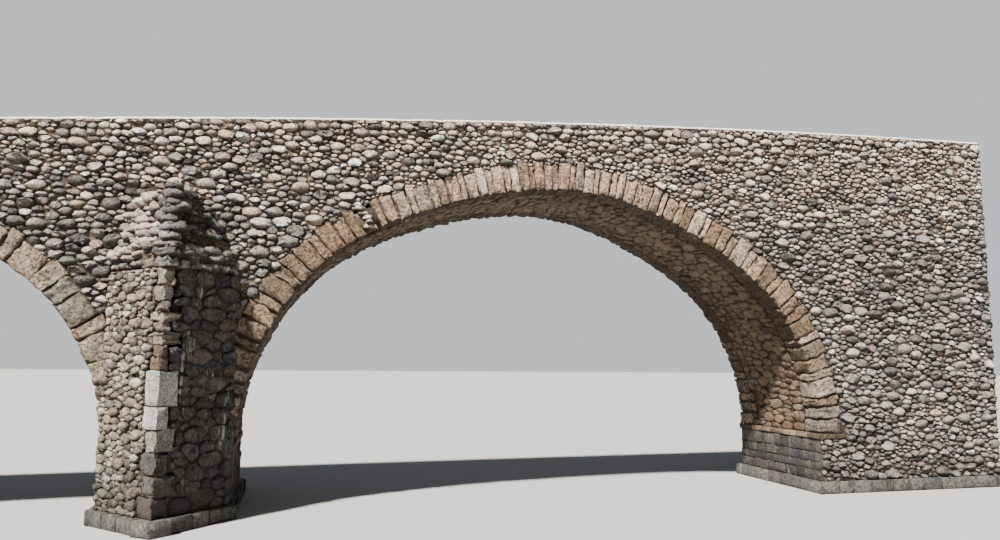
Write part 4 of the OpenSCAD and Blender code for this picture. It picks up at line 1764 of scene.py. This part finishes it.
@dataclass
class Cutwater:
    """Facing, quoins, hood and cap of one cutwater."""

    yard: Yard
    side: Side
    seed: int
    levels: tuple[float, ...] = (
        0.25, 0.58, 0.90, 1.26, 1.62, 1.98, 2.55, 2.76, 2.95, 3.16, 3.34, 3.49, 3.65, 3.90, 4.20
    )
    left_legs: tuple[float, ...] = (
        0.40, 0.27, 0.38, 0.26, 0.36, 0.36, 0.30, 0.22, 0.37, 0.24, 0.34, 0.20, 0.30, 0.22
    )
    right_legs: tuple[float, ...] = (
        0.28, 0.41, 0.26, 0.38, 0.22, 0.38, 0.18, 0.14, 0.38, 0.16, 0.36, 0.14, 0.18, 0.20
    )
    quoin_stones: tuple[Palette, ...] = (
        *[FOOTING_BLOCKS] * 4, *[GRANITE] * 2, *[RUSTY_BLOCKS] * 2, *[TAN_BLOCKS] * 6
    )
    # Number of lowest quoins whose colour is darkened to half.
    darkest_quoins: int = 3
    quoin_depth: float = 0.16
    quoin_proud: float = 0.016
    hood_standing: float = 0.42
    loose_step: float = 0.13
    cap_stones: int = 190
    ridge_stones: int = 9
    core_leg: float = 0.42
    joint: float = 0.012
    left_coursing: Coursing = Coursing(
        height=0.11, width=0.19, relief=(0.020, 0.062), oval=(1.5, 1.9), rounding=0, tilt=0.12,
        shoulder=(0.86, 1.06), crowd=0.88,
    )
    right_coursing: Coursing = Coursing(
        height=0.19, width=0.29, relief=(0.010, 0.044), oval=(1.3, 1.7), rounding=0, squeeze=0.63,
        wander=0.08, joint=0.005, farthest=0.26, tilt=0.09, shoulder=(0.94, 1.08),
    )
    cap_coursing: Coursing = Coursing(height=0.2, width=0.32, relief=(0.02, 0.04), oval=(1.2, 1.4))

    @property
    def front(self) -> bool:
        """Whether this is the cutwater that the picture shows."""
        return self.side is Side.FRONT

    def build(self) -> None:
        """Builds the whole cutwater."""
        self.facing()
        self.quoins()
        self.hood()
        if self.front:
            self.broken_cap()
        else:
            self.whole_cap()

    def stepped(self, legs: Sequence[float], length: float) -> Array:
        """Outline of one face, stepped in and out along the quoins.

        Args:
            legs: Leg of each quoin on this face.
            length: Length of the face.

        Returns:
            Corners along and up the face.
        """
        rows = zip(legs, self.levels, self.levels[1:])
        steps = [(leg + self.joint, z) for leg, *both in rows for z in both]
        return np.array([(length, FOOTING_H), (length, SHAFT_TOP), *steps[::-1]])

    def facing(self) -> None:
        """Lays small rubble on the face towards the left arch and squared stones on the other."""
        rng = np.random.default_rng(self.seed + 1)
        pile = Pile(f"cutwater_facing_{self.side.value}")
        bed, length = cutwater_face(self.side, -1)
        outline = self.stepped(self.left_legs, length)
        seeds = mixed_seeds(self.left_coursing, outline, RUBBLE_SORTS, rng)
        mason = RubbleMason(self.left_coursing, self.yard.rubble, self.seed + 2)
        mason.lay(pile, bed, seeds, outline, SMALL_RUBBLE if self.front else GREY_COBBLES)
        bed, length = cutwater_face(self.side, 1)
        seeds = course_seeds(self.right_coursing, (0.25, length), (FOOTING_H, SHAFT_TOP), rng)
        mason = RubbleMason(self.right_coursing, self.yard.slabs, self.seed + 4)
        # Dark blocks: their own sooty grey and painted shade of this face.
        mason.lay(pile, bed, seeds, self.stepped(self.right_legs, length), SHADED_GREY_BLOCKS)
        pile.raise_piece(self.yard.finishes["pier blocks"], "pier_stone")

    def _arrow(self, legs: Pair, z: Pair, proud: float, depth: float, soften: float) -> Array:
        """Sets out a block that wraps round the arris.

        Args:
            legs: Lengths of its left and its right leg.
            z: Its lowest and highest level.
            proud: How far it stands out of the faces.
            depth: How far it runs in.
            soften: How much of its arris is worn away.

        Returns:
            The corners of its left and of its right half, each in the order of a block's corners.
        """
        left, right = legs
        s, c = ARRIS_SIN, ARRIS_COS
        tip = HALF_WIDTH + CUTWATER_REACH + proud / s
        outer = [(-left * s, tip - left * c), (0.0, tip - soften), (right * s, tip - right * c)]
        inner = [(outer[0][0] + c * depth, outer[0][1] - s * depth), (0.0, tip - depth / s)]
        inner.append((outer[2][0] - c * depth, outer[2][1] - s * depth))
        sign, rims = self.side.sign, (inner, outer)
        halves = []
        for half in range(2):
            plan = [(rims[f][half + i], j) for i, j, f in CORNERS]
            halves.append([(x, sign * y, z[j]) for (x, y), j in plan])
        return np.array(halves)

    def quoins(self) -> None:
        """Lays the arris blocks, grey at the foot, then pale granite, rusty ones and tan ones."""
        rng = np.random.default_rng(self.seed + 3)
        pile = Pile(f"arris_quoins_{self.side.value}")
        mason = BlockMason(self.yard.fine_block, fresh(rng))
        legs, z = (self.core_leg, self.core_leg), (FOOTING_H, SHAFT_TOP)
        core = self._arrow(legs, z, -0.03, self.quoin_depth - 0.04, 0.2)
        self._bend(pile, mason, core, np.array([CORE_MORTAR]), 0.0)
        for i, (low, high) in enumerate(zip(self.levels, self.levels[1:])):
            palette = self.quoin_stones[i]
            granite = palette is GRANITE
            proud = self.quoin_proud + rng.uniform(-0.004, 0.016) + (0.018 if granite else 0.004)
            soften = 0.03 if granite else rng.uniform(0.01, 0.05)
            legs, z = (self.left_legs[i], self.right_legs[i]), (low + self.joint / 2, high - self.joint / 2)
            halves = self._arrow(legs, z, proud, self.quoin_depth, soften)
            # The lowest quoins are darkened to half and the rest to 0.8.
            shade = 0.5 if i < self.darkest_quoins else 0.8
            rough, wear = (0.009, (0.008, 0.014)) if granite else (0.022, WORN)
            self._bend(pile, mason, halves, palette.draw(1, rng) * shade, rough, wear)
        finish = self.yard.finishes["granite quoins"]
        pile.raise_piece(finish, "quoin_stone", f"{self.side.value}_quoins", crease=50.0)

    def _bend(
        self, pile: Pile, mason: BlockMason, halves: Array, tint: Array, rough: float, wear: Pair = WORN
    ) -> None:
        """Lays one block bent round the arris, from the corners of its two halves.

        Args:
            pile: The pile that takes it.
            mason: The block mason.
            halves: Corners of its left and its right half.
            tint: Its colour.
            rough: How far its faces wander.
            wear: Least and most width of its worn edges.
        """
        left, right = halves
        length = sum(np.linalg.norm(half[5] - half[4]) for half in halves)
        size = np.array([[length, left[2, 2] - left[0, 2], np.linalg.norm(left[4] - left[0])]])
        shares = mason.shares(size, mason.rng.uniform(*wear, 1))[0]
        first = shares[:, 0] < 0.5
        shares[:, 0] = shares[:, 0] * 2 - ~first
        points = between(shares, np.where(first[:, None], left[:, None], right[:, None]))
        apart = points + mason.rng.uniform(-40, 40, 3)
        points = points + rough * ripple_shift(apart, 0.14, mason.rng)
        pile.add(mason.stock, points[None], tint, mason.stock.edge, not self.front)

    def hood(self) -> None:
        """Lays the projecting course over the shaft, ragged and partly fallen on the front."""
        rng = np.random.default_rng(self.seed + 5)
        pile = Pile(f"hood_slabs_{self.side.value}")
        mason = BlockMason(self.yard.fine_block, fresh(rng))
        z, starts = (SHAFT_TOP + 0.004, CAP_BASE), (0.27, 0.24)
        stones = GREY_COBBLES if self.front else TAN_BLOCKS
        halves = self._arrow(starts, z, HOOD_REACH - 0.01, 0.3, 0.03)
        self._bend(pile, mason, halves, stones.draw(1, rng) * 0.6, 0.020)
        for hand, start in zip((-1.0, 1.0), starts):
            bed, length = cutwater_face(self.side, hand)
            whole = start + self.hood_standing if self.front else length + 0.02
            for u0, u1 in split((start, whole), (0.16, 0.34), rng):
                slack = rng.uniform(-0.012, 0.012, (4, 3))
                depth = (-0.36, HOOD_REACH - rng.uniform(0.01, 0.05))
                corners = bed_corners(bed, (u0 + 0.006, u1 - 0.006), z, depth, slack)
                mason.lay(pile, corners[None], stones.draw(1, rng) * 0.6, (0.02, 0.04), 0.018, bed.mirrored)
            if self.front:
                marks = np.arange(whole + 0.08, length, self.loose_step)
                count = len(marks)
                high = np.full(count, (SHAFT_TOP + CAP_BASE) / 2) + rng.uniform(-0.015, 0.015, count)
                centres = bed.place(marks, high, rng.uniform(-0.09, -0.03, count))
                sizes = rng.uniform(0.8, 1.2, (count, 1)) * np.array((0.10, 0.10, 0.075))
                self.yard.heap(pile, centres, sizes, GREY_COBBLES.draw(count, rng), rng)
        pile.raise_piece(self.yard.finishes["ring sandstone"], "dressed_stone", f"{self.side.value}_hood")

    def broken_cap(self) -> None:
        """Heaps loose rubble over the stepped remains of the cap."""
        rng = np.random.default_rng(self.seed + 7)
        pile = Pile("cap_rubble_front")
        count, ridge = self.cap_stones, self.ridge_stones
        # Steps of the golden section spread the stones evenly over the height.
        golden = 0.6180339887
        rise = (np.arange(count) * golden % 1) ** 1.15
        run = (np.arange(count) + 0.5) / count * 2 - 1
        share = np.abs(run)
        left = HALF_PIER + (BROKEN_LEFT - HALF_PIER) * rise
        right = HALF_PIER + (BROKEN_RIGHT - HALF_PIER) * rise
        reach = CUTWATER_REACH + (BROKEN_REACH - CUTWATER_REACH) * rise - 0.06
        x = np.where(run < 0, -left, right) * share * 0.96
        z = CAP_BASE + 0.05 + (CAP_H - 0.10) * rise
        centres = np.stack([x, -HALF_WIDTH - reach * (1 - share), z], 1) + rng.normal(0, 0.022, (count, 3))
        sizes = np.exp(rng.normal(math.log(0.10), 0.32, (count, 1))).clip(0.05, 0.17)
        # Stones along the middle are dark like the ridge; those on the right half are darker partly as
        # painted shade of the side turned from the key light.
        dark = (share < 0.22) | (run > 0)
        tint = np.where(dark[:, None], GREY_COBBLES.draw(count, rng) * 0.5, COBBLES.draw(count, rng) * 0.72)
        self.yard.heap(pile, centres, sizes * np.array((1.25, 1.0, 0.66)), tint, rng)
        share = (np.arange(ridge) + 0.5) / ridge
        y = -HALF_WIDTH - CUTWATER_REACH + 0.06 + (CUTWATER_REACH - BROKEN_REACH) * share
        centres = np.stack([rng.normal(0.0, 0.03, ridge), y, CAP_BASE + CAP_H * share], 1)
        sizes = rng.uniform(0.85, 1.2, (ridge, 1)) * np.array((0.145, 0.14, 0.085))
        self.yard.heap(pile, centres, sizes, GREY_COBBLES.draw(ridge, rng) * 0.55, rng)
        pile.raise_piece(self.yard.finishes["river cobbles"], "cap_rubble")

    def whole_cap(self) -> None:
        """Lays flat stones on the two slopes of the whole cap, and round ones on its ridge."""
        rng = np.random.default_rng(self.seed + 7)
        pile = Pile("cap_slabs_back")
        tip = np.array((0.0, HALF_WIDTH + CUTWATER_REACH, CAP_BASE))
        rise = np.array((0.0, HALF_WIDTH, CAP_BASE + CAP_H)) - tip
        for hand in (-1.0, 1.0):
            foot = np.array((hand * HALF_PIER, HALF_WIDTH, CAP_BASE)) - tip
            along = foot / np.linalg.norm(foot)
            up = rise - along * np.dot(rise, along)
            up /= np.linalg.norm(up)
            out = np.cross(along, up)
            out = out if out[2] > 0 else -out
            bed = Plane(tuple(tip), tuple(along), tuple(up), tuple(out))
            outline = np.array([(0, 0), (np.linalg.norm(foot), 0), (np.dot(rise, along), np.dot(rise, up))])
            seeds = course_seeds(self.cap_coursing, (0, outline[1, 0]), (0, outline[2, 1]), rng)
            mason = RubbleMason(self.cap_coursing, self.yard.flats, int(rng.integers(LAST_SEED)))
            mason.lay(pile, bed, seeds, outline, HAUNCH_STONES)
        marks = np.linspace(0.04, 0.96, 11)
        sizes = rng.uniform(0.09, 0.12, (len(marks), 1)) * np.array((0.9, 1.1, 0.7))
        tint = HAUNCH_STONES.draw(len(marks), rng)
        self.yard.heap(pile, tip + marks[:, None] * rise, sizes, tint, rng)
        pile.raise_piece(self.yard.finishes["ring sandstone"], "cap_rubble")


@dataclass
class PierAndFeet:
    """Blocks of the pier's and the abutments' inner faces, the imposts and the footings."""

    yard: Yard
    course_heights: Pair = (0.16, 0.30)
    block_lengths: Pair = (0.22, 0.52)
    joint: float = 0.010
    proud: Pair = (0.008, 0.030)

    def build(self) -> None:
        """Builds all low courses."""
        self.inner_faces()
        self.imposts()
        self.footings()

    def inner_faces(self) -> None:
        """Lays blocks on the faces that look into the openings, under the imposts."""
        rng = np.random.default_rng(91)
        half = self.joint / 2
        faces = {
            "pier_blocks": ((-HALF_PIER, -1.0), (HALF_PIER, 1.0)),
            "left_abutment_blocks": ((LEFT_SPRING, 1.0),),
            "right_abutment_blocks": ((RIGHT_SPRING, -1.0),),
        }
        for name, places in faces.items():
            pile = Pile(name)
            for x, way in places:
                bed = Plane((x, 0, 0), (0, 1, 0), (0, 0, 1), (way, 0, 0))
                blocks = []
                for v0, v1 in split((FOOTING_H, SPRINGING - IMPOST_H), self.course_heights, rng):
                    for u0, u1 in split((0.01 - HALF_WIDTH, HALF_WIDTH - 0.01), self.block_lengths, rng):
                        slack = [rng.uniform(-0.008, 0.008, (4, 2)), rng.uniform(-0.006, 0.006, (4, 1))]
                        u, v = (u0 + half, u1 - half), (v0 + half, v1 - half)
                        h = (-0.06, rng.uniform(*self.proud))
                        blocks.append(bed_corners(bed, u, v, h, np.concatenate(slack, 1)))
                mason = BlockMason(self.yard.plain_block, fresh(rng))
                tints = SHADED_GREY_BLOCKS.draw(len(blocks), rng)
                mason.lay(pile, np.array(blocks), tints, (0.012, 0.03), 0.006, bed.mirrored)
            pile.raise_piece(self.yard.finishes["pier blocks"], "pier_stone")

    def imposts(self) -> None:
        """Lays the thin projecting courses under the springings."""
        rng = np.random.default_rng(93)
        reach, run = IMPOST_REACH, IMPOST_RUN
        spans = {
            "pier_impost": ((-HALF_PIER - reach, -0.02), (0.02, HALF_PIER + reach)),
            "left_impost": ((LEFT_SPRING - run, LEFT_SPRING + reach),),
            "right_impost": ((RIGHT_SPRING - reach, RIGHT_SPRING + run),),
        }
        for node, runs in spans.items():
            pile, mason = Pile(f"{node}_slabs"), BlockMason(self.yard.plain_block, fresh(rng))
            for x0, x1 in runs:
                for y0, y1 in split((-RING_Y, RING_Y), (0.34, 0.56), rng):
                    inset = rng.uniform(0, 0.014, 2)
                    x, y = (x0 + inset[0], x1 - inset[1]), (y0 + 0.004, y1 - 0.004)
                    z = (SPRINGING - IMPOST_H, SPRINGING)
                    corners = np.array([[(x[i], y[j], z[f]) for i, j, f in CORNERS]])
                    mason.lay(pile, corners, HAUNCH_STONES.draw(1, rng) * 0.85, (0.010, 0.024), 0.003)
            pile.raise_piece(self.yard.finishes["ring sandstone"], "dressed_stone", node)

    def footings(self) -> None:
        """Lays the footings' blocks round their edges, over a core of mortar."""
        rng = np.random.default_rng(95)
        wide, side = HALF_WIDTH + FOOTING_REACH, HALF_PIER + FOOTING_REACH
        tip = HALF_WIDTH + CUTWATER_REACH + FOOTING_REACH / ARRIS_SIN
        flank = HALF_PIER + FOOTING_REACH / ARRIS_COS
        right = [(side, -wide), (side, wide), (flank, HALF_WIDTH), (0, tip)]
        left = [(-flank, HALF_WIDTH), (-side, wide), (-side, -wide), (-flank, -HALF_WIDTH)]
        abutments = {
            "left_footing": (LEFT_END - FOOTING_REACH, LEFT_SPRING + FOOTING_REACH),
            "right_footing": (RIGHT_SPRING - FOOTING_REACH, RIGHT_END + FOOTING_REACH),
        }
        outlines = {"pier_footing": np.array([*right, *left, (0, -tip), (flank, -HALF_WIDTH)], float)}
        outlines |= {node: rectangle(span, (-wide, wide)) for node, span in abutments.items()}
        for node, outline in outlines.items():
            pile, mason = Pile(f"{node}_blocks"), BlockMason(self.yard.plain_block, fresh(rng))
            centre = outline.mean(0)
            for a, b in zip(outline, np.roll(outline, -1, 0)):
                run = np.linalg.norm(b - a)
                if run < 0.25:
                    continue
                along = (b - a) / run
                inward = np.array((-along[1], along[0]))
                inward = inward if np.dot(centre - a, inward) > 0 else -inward
                for u0, u1 in split((0, run), (0.34, 0.62), rng):
                    ends = (a + along * (u0 + 0.005), a + along * (u1 - 0.005))
                    depths, z = (rng.uniform(0.30, 0.42), 0.004), (0.0, FOOTING_H - 0.001)
                    corners = np.array([(*(ends[i] + inward * depths[j]), z[f]) for i, j, f in CORNERS])
                    x, y, up = (corners[k] - corners[0] for k in (1, 2, 4))
                    turned = np.dot(np.cross(x, y), up) < 0
                    mason.lay(pile, corners[None], FOOTING_BLOCKS.draw(1, rng), (0.012, 0.035), 0.003, turned)
            plan = centre + 0.98 * (outline - centre)
            core = loft(np.stack([np.insert(plan, 2, z, axis=1) for z in (0.0, FOOTING_H - 0.008)]))
            pile.add_solid(core, CORE_MORTAR, 0.5)
            pile.raise_piece(self.yard.finishes["pier blocks"], "footing_stone", node)


@dataclass
class Capping:
    """Lumpy lime mortar on one parapet."""

    yard: Yard
    side: Side
    seed: int
    step: float = 0.05

    def build(self) -> None:
        """Sweeps the mortar along the parapet."""
        rng = np.random.default_rng(self.seed)
        x = np.arange(LEFT_END, RIGHT_END + self.step / 2, self.step)
        x[-1] = RIGHT_END
        outer, inner = HALF_WIDTH - 0.002, HALF_WIDTH - PARAPET_T + 0.002
        y = [outer, outer, outer - 0.02, outer - 0.07, (outer + inner) / 2]
        y = np.array([*y, inner + 0.07, inner + 0.02, inner, inner]) * self.side.sign
        z = np.array((0.0, 0.42, 0.8, 0.97, 1.0, 0.97, 0.8, 0.42, 0.0))
        base = top_line(x)[:, None] - CAPPING_H
        places = np.stack(np.broadcast_arrays(x[:, None], y, base + z * CAPPING_H), -1).copy()
        lumps = ripple(places, 0.45, rng) * 0.5 + ripple(places, 0.13, rng) * 0.3
        upper = z > 0.1
        places[..., 2] -= np.clip(0.2 + 0.5 * lumps, 0, 1) * 0.016 * upper
        outside = upper & (np.abs(places[..., 1]) > HALF_WIDTH - 0.1)
        places[..., 1] -= self.side.sign * np.where(outside, np.abs(lumps) * 0.012, 0)
        pile = Pile(f"capping_mortar_{self.side.value}")
        pile.add_solid(loft(places, turned=True), linear(214, 200, 178), turned=self.side is Side.BACK)
        pile.raise_piece(self.yard.finishes["capping mortar"], "capping_mortar", f"capping_{self.side.value}")


@dataclass
class Studio:
    """Floor, light and camera."""

    floor_size: float = 400.0
    camera_place: Triple = (1.92, -15.924, 2.726)
    camera_turn: float = math.radians(15.33)
    camera_rise: float = math.radians(6.82)
    camera_roll: float = math.radians(0.48)
    camera_lens: float = 27.72
    sensor: float = 36.0
    sun_strength: float = 17.0
    sun_way: Triple = (0.58, 0.52, -0.90)

    def build(self) -> None:
        """Builds the whole studio."""
        self.floor()
        self.lights()
        self.camera()

    def floor(self) -> None:
        """Lays a plain pale floor."""
        bpy.ops.object.select_all(action="DESELECT")
        bpy.ops.mesh.primitive_plane_add(size=self.floor_size, location=(0, 0, 0))
        floor = bpy.context.object
        floor.name = "studio_floor"
        material = bpy.data.materials.new("pale floor")
        material.use_nodes = True
        skin = material.node_tree.nodes["Principled BSDF"]
        skin.inputs["Base Color"].default_value = (0.34, 0.337, 0.33, 1)
        skin.inputs["Roughness"].default_value = 0.9
        floor.data.materials.append(material)

    def lights(self) -> None:
        """Sets a warm key from the upper left and pale light all round."""
        sun = bpy.data.lights.new("key", "SUN")
        sun.energy = self.sun_strength
        sun.angle = math.radians(3)
        sun.color = (1.0, 0.95, 0.88)
        lamp = bpy.data.objects.new("key", sun)
        bpy.context.scene.collection.objects.link(lamp)
        lamp.rotation_euler = Vector(self.sun_way).to_track_quat("-Z", "Y").to_euler()
        world = bpy.data.worlds.new("studio")
        bpy.context.scene.world = world
        world.use_nodes = True
        sheet = Sheet(world.node_tree)
        fill = sheet.wire("Background", {"Color": (0.80, 0.87, 0.97), "Strength": 0.26})
        backdrop = sheet.wire("Background", {"Color": (0.80, 0.83, 0.86), "Strength": 0.9})
        seen = sheet.wire("LightPath", out="Is Camera Ray")
        sheet.put("OutputWorld", {"Surface": sheet.wire("MixShader", {0: seen, 1: fill, 2: backdrop})})

    def camera(self) -> None:
        """Places the camera at the viewing angle of the picture."""
        turn, rise, roll = self.camera_turn, self.camera_rise, self.camera_roll
        level = math.cos(rise)
        ahead = Vector((math.sin(turn) * level, math.cos(turn) * level, math.sin(rise)))
        right = Vector((math.cos(turn), -math.sin(turn), 0))
        up = right.cross(ahead)
        tilted = right * math.cos(roll) + up * math.sin(roll)
        lifted = up * math.cos(roll) - right * math.sin(roll)
        data = bpy.data.cameras.new("camera")
        data.lens = self.camera_lens
        data.sensor_width = self.sensor
        data.sensor_fit = "HORIZONTAL"
        data.clip_end = 500
        camera = bpy.data.objects.new("camera", data)
        bpy.context.scene.collection.objects.link(camera)
        axes = Matrix((tilted, lifted, -ahead)).transposed().to_4x4()
        camera.matrix_world = Matrix.Translation(self.camera_place) @ axes
        bpy.context.scene.camera = camera


def main() -> None:
    """Builds the studio and the bridge's looks, in order."""
    logging.basicConfig(level=logging.INFO, format="%(message)s")
    Studio().build()
    yard = Yard()
    yard.dress_nodes()
    for back, side in enumerate(Side):
        LongWall(yard, side, 11 + back).build()
        ArchRing(yard, MAIN_ARCH, side, 21 + back, None if back else RING_SLOT).build()
        ArchRing(yard, LEFT_ARCH, side, 23 + back).build()
        Cutwater(yard, side, 70 + 10 * back).build()
        Capping(yard, side, 97 + back).build()
    EndWall(yard, "end_cobbles_left", LEFT_END, -1.0, 31).build()
    EndWall(yard, "end_cobbles_right", RIGHT_END, 1.0, 33).build()
    Vault(yard, MAIN_ARCH, 41).build()
    Vault(yard, LEFT_ARCH, 43).build()
    Roadway(yard, 61).build()
    PierAndFeet(yard).build()
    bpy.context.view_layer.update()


if __name__ == "__main__":
    main()
